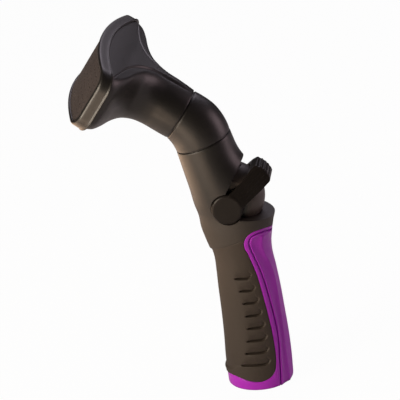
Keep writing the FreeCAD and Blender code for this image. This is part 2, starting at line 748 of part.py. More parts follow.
def rounded_outline(wide, thick, corner, height):
    """A rectangle with round corners, wide along Y and thick along X, at a height on Z."""
    edges = []
    flat_x, flat_y = thick - corner, wide - corner
    diagonal = corner * math.sqrt(0.5)
    quadrants = ((1, 1), (-1, 1), (-1, -1), (1, -1))
    for number, (sx, sy) in enumerate(quadrants):
        centre = Vector(sx * flat_x, sy * flat_y, height)
        on_x = centre + Vector(sx * corner, 0, 0)
        on_y = centre + Vector(0, sy * corner, 0)
        middle = centre + Vector(sx * diagonal, sy * diagonal, 0)
        first, last = (on_x, on_y) if number % 2 == 0 else (on_y, on_x)
        if edges:
            edges.append(Part.LineSegment(edges[-1].Vertexes[-1].Point, first).toShape())
        edges.append(Part.Arc(first, middle, last).toShape())
    edges.append(Part.LineSegment(edges[-1].Vertexes[-1].Point, edges[0].Vertexes[0].Point).toShape())
    return Part.Wire(edges)


def head_form(name, inset, first):
    """The flaring head lofted from its round joint to its wide mouth."""
    sections = []
    for station in list(HEAD_STATIONS)[first:]:
        size = HEAD_STATIONS[station]
        sections.append(rounded_outline(
            size["wide"] - inset, size["thick"] - inset, size["round"] - inset, size["at"]))
    return feature(name, Part.makeLoft(sections, True, False))


def face_drum(name, depth):
    """A drum whose skin lies at a depth behind the curved face."""
    turn = Rotation(Y_AXIS, 90)
    start = Vector(-FAR, 0, dim("face_distance") - dim("face_radius"))
    return cylinder(name, "dims.face_radius - (%s)" % depth, "2 * %g" % FAR, Placement(start, turn))


def face_slab(name, inset, front, back):
    """The mouth's outline, drawn in by the inset, between two depths behind the curved face."""
    outline = rounded_outline(
        dim("mouth_half_width") - inset, dim("mouth_half_height") - inset, dim("mouth_corner") - inset, 20.0)
    block = extrude(name + "_block", feature(name + "_outline", Part.Face(outline)), Z_AXIS, "1.2 * %g" % FAR)
    curved = common(name + "_front", block, face_drum(name + "_drum", front))
    return cut(name, curved, face_drum(name + "_back_drum", back))


def brow_plate():
    """The flat top and bottom of the fan, one tapering slab between two flared edges."""
    right = [Vector(0, spot["half"], spot["at"]) for spot in BROW_EDGE.values()]
    left = [Vector(0, -p.y, p.z) for p in reversed(right)]
    edges = []
    for run in (right, left):
        curve = Part.BSplineCurve()
        curve.interpolate(run)
        edges.append(curve.toShape())
    front = 1.2 * dim("face_distance")
    corners = [right[-1], Vector(0, right[-1].y, front), Vector(0, left[0].y, front), left[0]]
    edges += [Part.LineSegment(a, b).toShape() for a, b in zip(corners, corners[1:])]
    edges.append(Part.LineSegment(left[-1], right[0]).toShape())
    plan = feature("brow_plan", Part.Face(Part.Wire(Part.__sortEdges__(edges))))
    above = extrude("brow_prism", plan, X_AXIS, "2 * %g" % FAR, True)
    low, high = dim("brow_joint_height"), dim("brow_mouth_height")
    start, end = dim("brow_tip"), dim("face_distance")
    side = [Vector(low, 0, start), Vector(high, 0, end), Vector(high, 0, 2 * end),
            Vector(-high, 0, 2 * end), Vector(-high, 0, end), Vector(-low, 0, start)]
    slab = feature("brow_side", Part.Face(Part.makePolygon(side + side[:1])))
    thick = extrude("brow_slab", slab, Y_AXIS, "2 * %g" % FAR, True)
    return common("brow_plate", above, thick)


def make_head():
    """Fan head, spray face, its seal and the rim that clamps them."""
    lip = dim("rim_lip_thickness")
    face_back = lip + dim("face_thickness")
    seal_back = face_back + dim("seal_thickness")
    wall = dim("rim_wall")

    form = fuse("head_form", [head_form("head_outside", 0.0, 0), brow_plate()])
    skin = common("head_skin", form, face_drum("head_drum", "dims.rim_depth + dims.shell_gap"))
    spout = face_slab("head_lip", wall + dim("shell_gap"), repr(seal_back), "dims.rim_depth + 4")
    hollow = fuse("head_hollow", [
        head_form("head_inside", dim("head_wall"), 1),
        cylinder("head_way", "dims.neck_bore", "dims.face_distance"),
        cylinder("head_socket", "dims.socket_radius", "dims.socket_depth"),
    ])
    head = cut("fan_head_piece", fuse("head_solid", [skin, spout]), hollow)
    head.Placement = head_frame
    keep(head, "fan_head")

    rim_body = face_slab("rim_body", 0.0, "0", "dims.rim_depth")
    rim_room = face_slab("rim_room", wall, repr(lip), "dims.rim_depth + 2")
    rim_window = face_slab("rim_window", wall + dim("rim_lip"), "-2", "dims.rim_depth + 2")
    rim = cut("face_rim_piece", rim_body, fuse("rim_cuts", [rim_room, rim_window]))
    rim.Placement = head_frame
    keep(rim, "face_rim")

    plate = face_slab("plate_blank", wall + dim("fit_gap"), repr(lip), repr(face_back))
    crown = face_slab("plate_crown", wall + dim("rim_lip") + dim("fit_gap"), "0.4", repr(face_back))
    face = cut("spray_face_piece", fuse("plate_solid", [plate, crown]), spray_holes())
    face.Placement = head_frame
    keep(face, "spray_face")

    seal = cut("face_seal_piece",
               face_slab("seal_blank", wall + dim("shell_gap"), repr(face_back), repr(seal_back)),
               face_slab("seal_window", wall + dim("head_wall"), repr(face_back - 1), repr(seal_back + 1)))
    seal.Placement = head_frame
    keep(seal, "face_seal")


def spray_holes():
    """Rows of fine holes, each square to the curved face, every other row set half a step over."""
    centre = Vector(0, 0, dim("face_distance") - dim("face_radius"))
    holes = []
    columns, rows = int(dim("hole_columns")), int(dim("hole_rows"))
    for row in range(rows):
        across_face = (row - (rows - 1) / 2) * dim("hole_row_pitch")
        for column in range(columns - row % 2):
            angle = (column - (columns - 1 - row % 2) / 2) * dim("hole_angle")
            turn = Rotation(X_AXIS, -angle)
            start = centre + Vector(across_face, 0, 0) + turn.multVec(Z_AXIS) * (dim("face_radius") - 6)
            hole = Part.makeCylinder(dim("hole_radius"), 10)
            hole.Placement = Placement(start, turn)
            holes.append(hole)
    return feature("spray_holes", Part.makeCompound(holes))


def make_inlet():
    """Water tube, its O-rings, the threaded hose inlet, its washer and filter screen."""
    bottom, top = dim("tube_bottom"), dim("tube_top")
    tube = flat_ring("tube_blank", "dims.waterway_radius", "dims.tube_outer",
                     "dims.tube_top - dims.tube_bottom", along(tube_frame, bottom))
    places = [along(tube_frame, bottom + dim("tube_socket") / 2), along(tube_frame, top - dim("tube_socket") / 2)]
    grooves = [ring_groove("tube_groove_%d" % n, "dims.tube_outer + dims.fit_gap", "dims.tube_ring_section", place)
               for n, place in enumerate(places)]
    keep(cut("water_tube_piece", tube, fuse("tube_grooves", grooves)), "water_tube")
    rings = [round_ring("tube_ring_%d" % n, "dims.tube_outer - dims.tube_ring_section",
                        "dims.tube_ring_section", place) for n, place in enumerate(places)]
    keep(group("tube_o_rings_piece", rings), "tube_o_rings")

    barrel = cylinder("inlet_barrel", "dims.inlet_outer", "dims.inlet_height")
    nozzle = cylinder("inlet_nozzle", "dims.spigot_radius", "dims.tube_bottom + dims.tube_socket", tube_frame)
    ways = fuse("inlet_ways", [
        cylinder("inlet_thread", "dims.inlet_radius", "dims.inlet_depth"),
        cylinder("washer_seat", "dims.washer_outer + dims.fit_gap", "dims.washer_thickness",
                 Placement(Vector(0, 0, dim("inlet_depth")), Rotation())),
        cylinder("inlet_way_up", "dims.waterway_radius", "dims.inlet_height"),
        cylinder("inlet_socket", "dims.tube_outer + dims.fit_gap", "2 * dims.tube_socket",
                 along(tube_frame, bottom - dim("fit_gap"))),
    ])
    keep(cut("hose_inlet_piece", fuse("inlet_solid", [barrel, nozzle]), ways), "hose_inlet")

    seat = dim("inlet_depth")
    washer = flat_ring("hose_washer_piece", "dims.washer_inner", "dims.washer_outer",
                       "dims.washer_thickness", Placement(Vector(0, 0, seat), Rotation()))
    keep(washer, "hose_washer")

    disc = cylinder("screen_disc", "dims.washer_inner - dims.fit_gap", "dims.screen_thickness",
                    Placement(Vector(0, 0, seat + 1), Rotation()))
    holes = []
    pitch, hole = dim("screen_pitch"), dim("screen_hole")
    for row in range(-2, 3):
        for column in range(-2, 3):
            if abs(row) + abs(column) < 4:
                square = Part.makeBox(hole, hole, 4)
                square.translate(Vector(row * pitch - hole / 2, column * pitch - hole / 2, seat - 1))
                holes.append(square)
    keep(cut("filter_screen_piece", disc, feature("screen_holes", Part.makeCompound(holes))), "filter_screen")


def check_and_export():
    """Stops on any failed object or bad shape, then writes one STEP file for each piece."""
    doc.recompute()
    failed = [o.Name for o in doc.Objects if "Invalid" in o.State or "Error" in o.State]
    if failed:
        raise RuntimeError("failed objects: " + ", ".join(failed))
    for obj in PARTS:
        shape = obj.Shape
        if shape.isNull() or not shape.isValid() or not shape.Solids:
            raise RuntimeError("bad shape: " + obj.Label)
    os.makedirs("parts", exist_ok=True)
    for obj in PARTS:
        obj.Shape.exportStep(os.path.join("parts", obj.Label + ".step"))
        low, high = obj.Shape.BoundBox.getPoint(0), obj.Shape.BoundBox.getPoint(6)
        print("%-18s solids %d volume %9.1f mm3" % (obj.Label, len(obj.Shape.Solids), obj.Shape.Volume))


make_handle()
make_valve()
make_lever()
make_elbow()
make_head()
make_inlet()
check_and_export()
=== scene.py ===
"""Handheld bath sprayer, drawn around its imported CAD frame."""
import math

import bmesh
import bpy
from mathutils import Matrix, Vector


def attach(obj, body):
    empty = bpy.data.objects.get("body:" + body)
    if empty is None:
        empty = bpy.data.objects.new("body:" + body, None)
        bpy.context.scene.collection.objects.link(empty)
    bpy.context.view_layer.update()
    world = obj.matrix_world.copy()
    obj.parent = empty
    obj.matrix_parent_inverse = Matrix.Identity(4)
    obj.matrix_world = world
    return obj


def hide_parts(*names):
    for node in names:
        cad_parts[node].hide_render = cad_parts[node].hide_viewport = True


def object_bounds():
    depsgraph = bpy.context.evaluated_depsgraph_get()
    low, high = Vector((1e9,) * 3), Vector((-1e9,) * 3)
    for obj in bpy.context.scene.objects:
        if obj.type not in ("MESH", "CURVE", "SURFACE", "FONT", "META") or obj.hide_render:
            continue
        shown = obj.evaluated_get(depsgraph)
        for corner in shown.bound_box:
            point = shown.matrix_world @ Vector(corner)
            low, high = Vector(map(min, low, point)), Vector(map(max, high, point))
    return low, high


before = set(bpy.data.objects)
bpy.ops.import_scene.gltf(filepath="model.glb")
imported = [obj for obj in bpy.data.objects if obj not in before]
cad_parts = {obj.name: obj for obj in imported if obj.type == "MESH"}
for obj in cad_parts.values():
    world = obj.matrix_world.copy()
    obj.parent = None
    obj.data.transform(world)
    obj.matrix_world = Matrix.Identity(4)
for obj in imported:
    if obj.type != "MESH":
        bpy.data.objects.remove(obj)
cad_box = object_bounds()

# Camera
# It looks slightly down on the sprayer's left side, from a little behind it, with a long lens,
# and is rolled so that the handle leans as it does in the photograph. Lengths are in metres.
CAMERA_PLACE = (0.171596, -1.183373, 0.627542)
CAMERA_RIGHT = (0.98602713, 0.110942, -0.12426736)
CAMERA_UP = (0.07058983, 0.39742214, 0.91491678)
CAMERA_BACK = (0.15088929, -0.91090478, 0.38403764)


def stand(name, data):
    """Puts a camera, lamp or mesh into the scene."""
    made = bpy.data.objects.new(name, data)
    bpy.context.scene.collection.objects.link(made)
    return made


camera = stand("camera", bpy.data.cameras.new("camera"))
camera.data.lens = 185.4
camera.data.sensor_width = 36.0
camera.data.clip_end = 20.0
turned = Matrix((CAMERA_RIGHT, CAMERA_UP, CAMERA_BACK)).transposed().to_4x4()
camera.matrix_world = Matrix.Translation(CAMERA_PLACE) @ turned
bpy.context.scene.camera = camera

# Studio
# The main soft box stands at the front left, with two warm cards on the floor below it, a box
# at the right and a cool one high behind. Floor and background look white to the camera only.
bpy.context.scene.view_settings.view_transform = "Standard"


def soft_box(name, place, target, width, height, power, tint):
    """A rectangular area lamp at a place, aimed at a target and unseen by the camera."""
    lamp = bpy.data.lights.new(name, "AREA")
    lamp.shape = "RECTANGLE"
    lamp.size, lamp.size_y = width, height
    lamp.energy = power
    lamp.color = tint
    rig = stand(name, lamp)
    rig.location = place
    rig.rotation_euler = (Vector(target) - Vector(place)).to_track_quat("-Z", "Y").to_euler()
    rig.visible_camera = False


WARM = (1.0, 0.86, 0.70)
AMBER = (1.0, 0.66, 0.42)
ROSE = (1.0, 0.75, 0.80)
COOL = (0.98, 0.88, 1.0)
MIDDLE = (-0.02, 0.0, 0.12)
soft_box("key_box", (-0.75, -0.75, 0.40), MIDDLE, 0.55, 0.55, 15.5, WARM)
soft_box("low_card", (-0.45, 0.10, 0.02), (-0.44, 0.10, 1.0), 0.44, 0.50, 2.1, AMBER)
soft_box("front_card", (-0.30, -0.50, 0.02), (-0.29, -0.50, 1.0), 0.5, 0.4, 1.5, AMBER)
soft_box("right_box", (0.90, 0.20, 0.35), MIDDLE, 0.5, 0.6, 2.8, ROSE)
soft_box("top_box", (0.10, 0.80, 0.95), MIDDLE, 0.9, 0.7, 4.3, COOL)


class Wire:
    """A number that runs through a material's nodes: plain operators add Math nodes to it."""

    def __init__(self, finish, socket):
        self.finish = finish
        self.socket = socket

    def maths(self, operation, first, second):
        return self.finish.node("ShaderNodeMath", {"operation": operation}, {0: first, 1: second})

    def __add__(self, other):
        return self.maths("ADD", self, other)

    def __radd__(self, other):
        return self.maths("ADD", other, self)

    def __sub__(self, other):
        return self.maths("SUBTRACT", self, other)

    def __rsub__(self, other):
        return self.maths("SUBTRACT", other, self)

    def __mul__(self, other):
        return self.maths("MULTIPLY", self, other)

    def clamped(self):
        return self.maths("MINIMUM", self.maths("MAXIMUM", self, 0.0), 1.0)


class Finish:
    """A material being made: its nodes and the surface shader that shows."""

    def __init__(self, name, color=(0.8, 0.8, 0.8), roughness=0.5, shine=0.5):
        self.material = bpy.data.materials.new(name)
        self.material.use_nodes = True
        self.tree = self.material.node_tree
        self.shader = self.tree.nodes["Principled BSDF"]
        self.shader.inputs["Base Color"].default_value = (*color, 1.0)
        self.shader.inputs["Roughness"].default_value = roughness
        self.shader.inputs["Specular IOR Level"].default_value = shine

    def node(self, kind, settings=None, inputs=None, output=0):
        """Adds a node with its settings, feeds its sockets and returns one of its outputs."""
        made = self.tree.nodes.new(kind)
        for name, value in (settings or {}).items():
            setattr(made, name, value)
        for name, value in (inputs or {}).items():
            self.feed(made.inputs[name], value)
        return Wire(self, made.outputs[output])

    def feed(self, socket, value):
        """Links a wire to a socket, or sets the socket's own value."""
        if isinstance(value, Wire):
            self.tree.links.new(value.socket, socket)
        else:
            socket.default_value = value

    def place(self, scale=1.0):
        """Object coordinates, in multiples of a length given in metres."""
        spot = self.node("ShaderNodeTexCoord", output="Object")
        return self.node("ShaderNodeMapping", {}, {"Vector": spot, "Scale": (1 / scale,) * 3})

    def noise(self, size, detail=2.0, rough=0.5):
        """Soft noise from 0 to 1 whose blotches are about one size across, in metres."""
        return self.node("ShaderNodeTexNoise", {}, {
            "Vector": self.place(size), "Scale": 1.0, "Detail": detail, "Roughness": rough})

    def blend(self, share, low, high):
        """A colour between two, by a share from 0 to 1."""
        mix = self.tree.nodes.new("ShaderNodeMix")
        mix.data_type = "RGBA"
        self.feed(mix.inputs["Factor"], share)
        for socket, value in ((mix.inputs[6], low), (mix.inputs[7], high)):
            self.feed(socket, value if isinstance(value, Wire) else (*value, 1.0))
        return Wire(self, mix.outputs[2])

    def show(self, color=None, roughness=None, height=None, depth=0.0001):
        """Feeds the surface's colour, roughness and the relief of its grain, depth in metres."""
        if color is not None:
            self.feed(self.shader.inputs["Base Color"], color)
        if roughness is not None:
            self.feed(self.shader.inputs["Roughness"], roughness)
        if height is not None:
            bump = self.node("ShaderNodeBump", {}, {
                "Height": height, "Distance": depth, "Strength": 1.0})
            self.feed(self.shader.inputs["Normal"], bump)


AIR_LIGHT = 0.04  # what the air gives the sprayer, beside the 1.0 that the camera sees
PAPER_WHITE = 0.97  # how much of the paper's colour the camera sees as plain white

world = bpy.data.worlds.new("studio_air")
world.use_nodes = True
bpy.context.scene.world = world
air = world.node_tree
path = air.nodes.new("ShaderNodeLightPath")
seen = air.nodes.new("ShaderNodeMath")
seen.operation = "MAXIMUM"
air.links.new(path.outputs["Is Camera Ray"], seen.inputs[0])
air.links.new(path.outputs["Is Transmission Ray"], seen.inputs[1])
span = air.nodes.new("ShaderNodeMapRange")
span.inputs["To Min"].default_value = AIR_LIGHT
span.inputs["To Max"].default_value = 1.0
air.links.new(seen.outputs[0], span.inputs["Value"])
air.links.new(span.outputs[0], air.nodes["Background"].inputs["Strength"])
air.nodes["Background"].inputs["Color"].default_value = (1.0, 1.0, 1.0, 1.0)


def as_mesh(name, bm):
    """Turns a bmesh into a mesh."""
    data = bpy.data.meshes.new(name)
    bm.to_mesh(data)
    bm.free()
    return data


floor_form = bmesh.new()
bmesh.ops.create_grid(floor_form, x_segments=1, y_segments=1, size=6.0)
studio_floor = stand("studio_floor", as_mesh("studio_floor", floor_form))
studio_floor.location.z = cad_box[0][2] - 0.0005
paper = Finish("studio_paper", (0.75, 0.75, 0.75), 0.9)
ray = paper.node("ShaderNodeLightPath", output="Is Camera Ray")
sheet = paper.node("ShaderNodeMixShader", {}, {
    0: ray * PAPER_WHITE,
    1: Wire(paper, paper.shader.outputs[0]),
    2: paper.node("ShaderNodeEmission", {}, {"Color": (1, 1, 1, 1), "Strength": 1.0}),
})
paper.feed(paper.tree.nodes["Material Output"].inputs["Surface"], sheet)
studio_floor.data.materials.append(paper.material)

# Handle skin
# The grip, the back shell and the upper housing share one moulded outer form: egg-shaped
# sections stacked along the handle, leaning forward above the lever. Lengths are in millimetres.


def table(names, *rows):
    """Rows of numbers under named columns."""
    return [dict(zip(names.split(), row)) for row in rows]


SECTIONS = table(
    "up x z lean front back side",
    (0, 0, 0, 0, 21.2, 21.6, 19),
    (18, 0, 18, 0, 21.2, 22.2, 19),
    (34, 0, 34, 0, 20.4, 22, 18.6),
    (50, 0, 50, 0, 20, 21.2, 18.2),
    (68, 0, 68, 0, 20, 20.2, 17.9),
    (80, 0, 80, 0, 20.2, 19.1, 17.8),
    (92, 0, 92, 0, 20.9, 17.8, 18),
    (104, 0, 104, 0, 24, 18.7, 18.9),
    (112, 0, 112, 0, 25.8, 20.4, 19.5),
    (119, 0, 119, 0, 26.3, 22.2, 19.8),
    (131, -3.9, 130.2, 5.5, 24.5, 22.6, 19.8),
    (144, -9, 142.3, 12, 21.2, 21.7, 19.4),
    (158, -13.1, 155.7, 14.7, 19.7, 17.8, 18.7),
    (172, -16.8, 169.2, 16.1, 18.6, 17.4, 17.9),
)
COLLAR_UP = 172.0
MEAN_RADIUS = 19.0
HALF_ROUND = math.pi * MEAN_RADIUS


def between(rows, key, column, at):
    """The smooth value of a column where the key column has a given value."""
    last = len(rows) - 2
    spot = 0
    while spot < last and at > rows[spot + 1][key]:
        spot += 1

    def slope(index):
        low, high = max(index - 1, 0), min(index + 1, len(rows) - 1)
        spans = [rows[i + 1][key] - rows[i][key] for i in range(low, high)]
        rises = [(rows[i + 1][column] - rows[i][column]) / (rows[i + 1][key] - rows[i][key])
                 for i in range(low, high)]
        if len(rises) == 1:
            return rises[0]
        return (rises[0] * spans[1] + rises[1] * spans[0]) / (spans[0] + spans[1])

    start, end = rows[spot], rows[spot + 1]
    length = end[key] - start[key]
    t = max(0.0, min(1.0, (at - start[key]) / length))
    return (start[column] * (1 + 2 * t) * (1 - t) ** 2 + end[column] * t * t * (3 - 2 * t)
            + slope(spot) * length * t * (1 - t) ** 2
            - slope(spot + 1) * length * t * t * (1 - t))


def skin(turn, up, inset=0.0):
    """A point of the outer form: turn runs from the back round by -Y to the front, in radians."""
    size = {name: between(SECTIONS, "up", name, up) for name in SECTIONS[0]}
    reach = size["back"] if math.cos(turn) > 0 else size["front"]
    out = (reach - inset) * math.cos(turn)
    lean = math.radians(size["lean"])
    return Vector((
        size["x"] + out * math.cos(lean),
        -(size["side"] - inset) * math.sin(turn),
        size["z"] + out * math.sin(lean),
    ))


def on_form(spot, inset=0.0):
    """A point of the outer form from its distance round from the back and its height."""
    return skin(spot.x / MEAN_RADIUS, spot.y, inset)


def step(value, start, end):
    """0 before start, 1 after end and smooth in between."""
    t = max(0.0, min(1.0, (value - start) / (end - start)))
    return t * t * (3 - 2 * t)


def cloth_of(columns, rows, where, loop=False):
    """A bmesh grid of columns by rows whose vertices go where a function of both numbers says."""
    bm = bmesh.new()
    bmesh.ops.create_grid(bm, x_segments=columns - 1, y_segments=rows - 1, size=1.0)
    for number, vertex in enumerate(list(bm.verts)):
        vertex.co = where(number % columns, number // columns)
    if loop:
        bmesh.ops.remove_doubles(bm, verts=bm.verts, dist=0.0005)
    return bm


def settle(name, bm, material, body, slot, *nodes, crease):
    """Turns a bmesh in millimetres into a piece that rides on a body and may replace nodes."""
    bmesh.ops.recalc_face_normals(bm, faces=bm.faces)
    for face in bm.faces:
        face.smooth = True
    limit = math.radians(crease)
    for edge in bm.edges:
        edge.smooth = len(edge.link_faces) != 2 or edge.calc_face_angle(0.0) < limit
    bmesh.ops.scale(bm, vec=(0.001, 0.001, 0.001), verts=bm.verts)
    piece = stand(name, as_mesh(name, bm))
    piece.data.materials.append(material)
    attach(piece, body)
    if nodes:
        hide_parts(*nodes)
    return piece


def resampled(points, count):
    """Evenly spaced points along a chain of points, in a given number of steps."""
    lengths = [0.0]
    for a, b in zip(points, points[1:]):
        lengths.append(lengths[-1] + (b - a).length)
    run, spot = [], 0
    for number in range(count + 1):
        goal = lengths[-1] * number / count
        while spot < len(points) - 2 and lengths[spot + 1] < goal:
            spot += 1
        share = (goal - lengths[spot]) / max(lengths[spot + 1] - lengths[spot], 1e-9)
        run.append(points[spot].lerp(points[spot + 1], max(0.0, min(1.0, share))))
    return run


FINE = 16  # points worked out between two corners of a smooth run


def smooth_run(corners, stops):
    """A smooth curve through corners, cut evenly between stops given as corner number: steps."""
    corners = [Vector(corner) for corner in corners]
    padded = [corners[0] * 2 - corners[1], *corners, corners[-1] * 2 - corners[-2]]
    dense = []
    for a, b, c, d in zip(padded, padded[1:], padded[2:], padded[3:]):
        for number in range(FINE):
            t = number / FINE
            dense.append(0.5 * (2 * b + (c - a) * t + (2 * a - 5 * b + 4 * c - d) * t * t
                                + (3 * b - a - 3 * c + d) * t ** 3))
    dense.append(corners[-1])
    run, begin = [corners[0]], 0
    for corner, steps in stops.items():
        run += resampled(dense[begin * FINE:corner * FINE + 1], steps)[1:]
        begin = corner
    return run


WELD = 0.004  # points nearer than this are one


def mirrored(bm):
    """Adds the other side across the handle's middle plane and welds the two."""
    copy = bmesh.ops.duplicate(bm, geom=bm.verts[:] + bm.edges[:] + bm.faces[:])["geom"]
    verts = [g for g in copy if isinstance(g, bmesh.types.BMVert)]
    bmesh.ops.scale(bm, vec=(1, -1, 1), verts=verts)
    bmesh.ops.reverse_faces(bm, faces=[g for g in copy if isinstance(g, bmesh.types.BMFace)])
    bmesh.ops.remove_doubles(bm, verts=bm.verts, dist=WELD)


# Back shell
# Glossy purple plastic, one moulding: a flat border, a narrow groove inside it and a raised
# middle panel, with a foot ring that runs round the front below the soft grip.
purple = Finish("glossy_purple", shine=0.3)
flow = purple.noise(0.012, 3.0)
purple.show(
    color=purple.blend(flow, (0.305, 0.016, 0.40), (0.365, 0.022, 0.475)),
    roughness=0.27 + flow * 0.08,
    height=purple.noise(0.0009) * 0.5 + purple.noise(0.006, 1.0) * 0.5,
    depth=0.00002,
)
purple.shader.inputs["Coat Weight"].default_value = 0.05
purple.shader.inputs["Coat Roughness"].default_value = 0.15

BORDER = (  # distance round from the back and height, from the top of the back to the front
    (0, 108.8), (5, 109.7), (12.1, 111.5), (18.1, 112), (22.4, 111.2), (25.6, 108.8),
    (27.3, 104.7), (27, 100.7), (25.3, 96.5), (23, 88.1), (21.4, 79.9), (20.6, 72.6),
    (19.7, 64), (18.3, 48.8), (17.6, 36.4), (17.4, 26.2), (17.7, 20.1), (18.6, 14),
    (20.6, 10.2), (24, 7.9), (28.1, 6.8), (32.2, 7), (36.5, 7.9), (40.2, 9.2),
    (45.9, 10.1), (52.0, 9.6), (HALF_ROUND, 9.0),
)
GROOVE = (
    (0, 106.7), (5, 107.6), (12.4, 109.7), (17.3, 110.1), (20.8, 109.5), (23.4, 107.6),
    (24.5, 104.3), (23.8, 100.1), (22.4, 95.8), (19.9, 87), (18.4, 79), (17.4, 71.6),
    (16.5, 63), (15, 48), (14.6, 36), (15.1, 26), (15.6, 20),
)
GROOVE_WIDTH = 1.0
GROOVE_DEPTH = 1.3
SLIT_ROUND = 16.6
TOP_STEPS, SIDE_STEPS, FILLET_STEPS, FRONT_STEPS = 36, 90, 12, 60
RIDGE = table(
    "up round", (0, 7.2), (16.6, 9.4), (31.1, 9.7), (46.7, 8.7), (63.5, 8.2), (80, 8.2),
    (86, 9.4), (92.6, 12.2), (97.3, 14.1), (109, 14.7),
)
FOOT_LOW, BACK_RISE = 0.6, 0.7


def foot_height(round_way):
    """Height of the foot's lower edge: a touch higher at the back."""
    return FOOT_LOW + BACK_RISE * (1 - step(round_way, 8.0, 22.0))


outer_edge = smooth_run(BORDER, {6: TOP_STEPS, 16: SIDE_STEPS, 18: FILLET_STEPS, 26: FRONT_STEPS})
groove_out = smooth_run(GROOVE, {6: TOP_STEPS, 16: SIDE_STEPS})
slit_end = Vector((SLIT_ROUND, foot_height(SLIT_ROUND)))
slit_out = groove_out + resampled([groove_out[-1], slit_end], FILLET_STEPS)[1:]
slit_in = []
for before, here, after in zip([slit_out[0]] + slit_out, slit_out, slit_out[1:] + [slit_out[-1]]):
    ahead = (after - before).normalized()
    slit_in.append(here + Vector((ahead.y, -ahead.x)) * GROOVE_WIDTH)
slit_in[0].x = 0.0
foot_run = resampled([slit_end, Vector((HALF_ROUND, 0.0))], FRONT_STEPS)[1:]
inner_edge = slit_out + [Vector((spot.x, foot_height(spot.x))) for spot in foot_run]

ROUND_EDGE = ((0.0, 1.2), (0.02, 0.45), (0.16, 0.12), (0.42, 0.0))  # distance in, and inset
MIDDLE_ROWS = ((0.3, 0.0), (0.5, 0.0), (0.7, 0.05))
GROOVE_ROWS = ((0.45, 0.1), (0.2, 0.2), (0.05, 0.42), (0.0, GROOVE_DEPTH))
FOOT_ROWS = ((1.3, 0.05), (0.7, 0.2), (0.25, 0.6), (0.0, 1.9))


def flange_point(column, row):
    """The flat border, and further on the foot ring, from the outer edge to the groove or foot."""
    start, end = outer_edge[column], inner_edge[column]
    width = (end - start).length
    if row < len(ROUND_EDGE):
        distance, inset = ROUND_EDGE[row]
        return on_form(start.lerp(end, distance / width), inset)
    row -= len(ROUND_EDGE)
    if row < len(MIDDLE_ROWS):
        share, inset = MIDDLE_ROWS[row]
        return on_form(start.lerp(end, share), inset if column < len(slit_out) else 0.0)
    rows = GROOVE_ROWS if column < len(slit_out) else FOOT_ROWS
    distance, inset = rows[row - len(MIDDLE_ROWS)]
    return on_form(end.lerp(start, distance / width), inset)


FLOOR_SHARES = (0.0, 0.35, 0.65, 1.0)
PANEL_EDGE = ((0.0, GROOVE_DEPTH), (0.04, 0.3), (0.2, 0.06), (0.5, 0.0))
FACET_STEPS = 9
FRONT_SAG, BACK_SAG = 0.85, 0.6
FIRST_FALL, TOP_FALL = 1.5, 16.5  # how far down a column from the top's middle and corner ends
LEVEL_STEPS = 50
LEAST_RIDGE = 0.2
DRAFT, DRAFT_TOP = 0.6, 2.8


def groove_point(column, row):
    return on_form(slit_out[column].lerp(slit_in[column], FLOOR_SHARES[row]), GROOVE_DEPTH)


def panel_point(column, row):
    """The raised middle: two nearly flat facets on each side, meeting in a soft ridge."""
    start = slit_in[column]
    fall = slit_in[TOP_STEPS].y - slit_in[0].y + TOP_FALL
    if column < TOP_STEPS:
        middle = slit_in[0].y - FIRST_FALL - (TOP_FALL - FIRST_FALL) * column / TOP_STEPS
    else:
        middle = start.y - fall * (1 - step(column, TOP_STEPS, TOP_STEPS + LEVEL_STEPS))
    end = Vector((0.0, middle))
    length = (end - start).length
    ridge = LEAST_RIDGE
    for _ in range(4):
        height = start.y + (middle - start.y) * ridge
        ridge = max(LEAST_RIDGE, 1 - between(RIDGE, "up", "round", height) / max(start.x, 0.1))
    edge = PANEL_EDGE[-1][0] / length
    past_edge = row - len(PANEL_EDGE) + 1
    if past_edge <= 0:
        distance, inset = PANEL_EDGE[row]
        way = distance / length
    elif past_edge <= FACET_STEPS:
        share = past_edge / FACET_STEPS
        way = edge + (max(ridge, edge) - edge) * share
        inset = FRONT_SAG * 4 * share * (1 - share) * min((ridge - edge) * start.x / 5, 1.0)
    else:
        share = (past_edge - FACET_STEPS) / FACET_STEPS
        way = ridge + (1 - ridge) * share
        room = min(start.x * (1 - ridge) / 8, 1.0)
        inset = BACK_SAG * 2 * share * (2 - share * 1.6) * room * (1 - share * 0.3)
    inset += DRAFT * (1 - step(start.y, foot_height(0.0), DRAFT_TOP))
    return on_form(start.lerp(end, way), max(inset, 0.0))


shell = cloth_of(
    len(outer_edge), len(ROUND_EDGE) + len(MIDDLE_ROWS) + len(GROOVE_ROWS), flange_point)
for strip in (
    cloth_of(len(slit_out), len(FLOOR_SHARES), groove_point),
    cloth_of(len(slit_in), len(PANEL_EDGE) + 2 * FACET_STEPS, panel_point),
):
    strip_data = as_mesh("strip", strip)
    shell.from_mesh(strip_data)
    bpy.data.meshes.remove(strip_data)
bmesh.ops.remove_doubles(shell, verts=shell.verts, dist=WELD)
mirrored(shell)
back_shell = settle("back_shell_moulding", shell, purple.material, "sprayer", "back_shell",
                    "back_shell", crease=55)
wall = back_shell.modifiers.new("wall", "SOLIDIFY")
wall.thickness = 0.0007
wall.offset = -1.0

# Soft grip
# Matte rubber moulded over the front and sides of the handle. Each side has eight thumb steps:
# a shallow ramp that sinks downwards to a thin deep slot, and ends abruptly near the border.


def moulded(name, tones, rough, spread, cloud_size, grain_size, depth, shine):
    """A moulded finish: cloudy between two tones, with a fine grain. Lengths are in metres."""
    finish = Finish(name, shine=shine)
    cloud = finish.noise(cloud_size, 3.0)
    finish.show(
        color=finish.blend(cloud, *tones),
        roughness=rough + cloud * spread,
        height=finish.noise(grain_size, 2.0, 0.6),
        depth=depth,
    )
    return finish.material


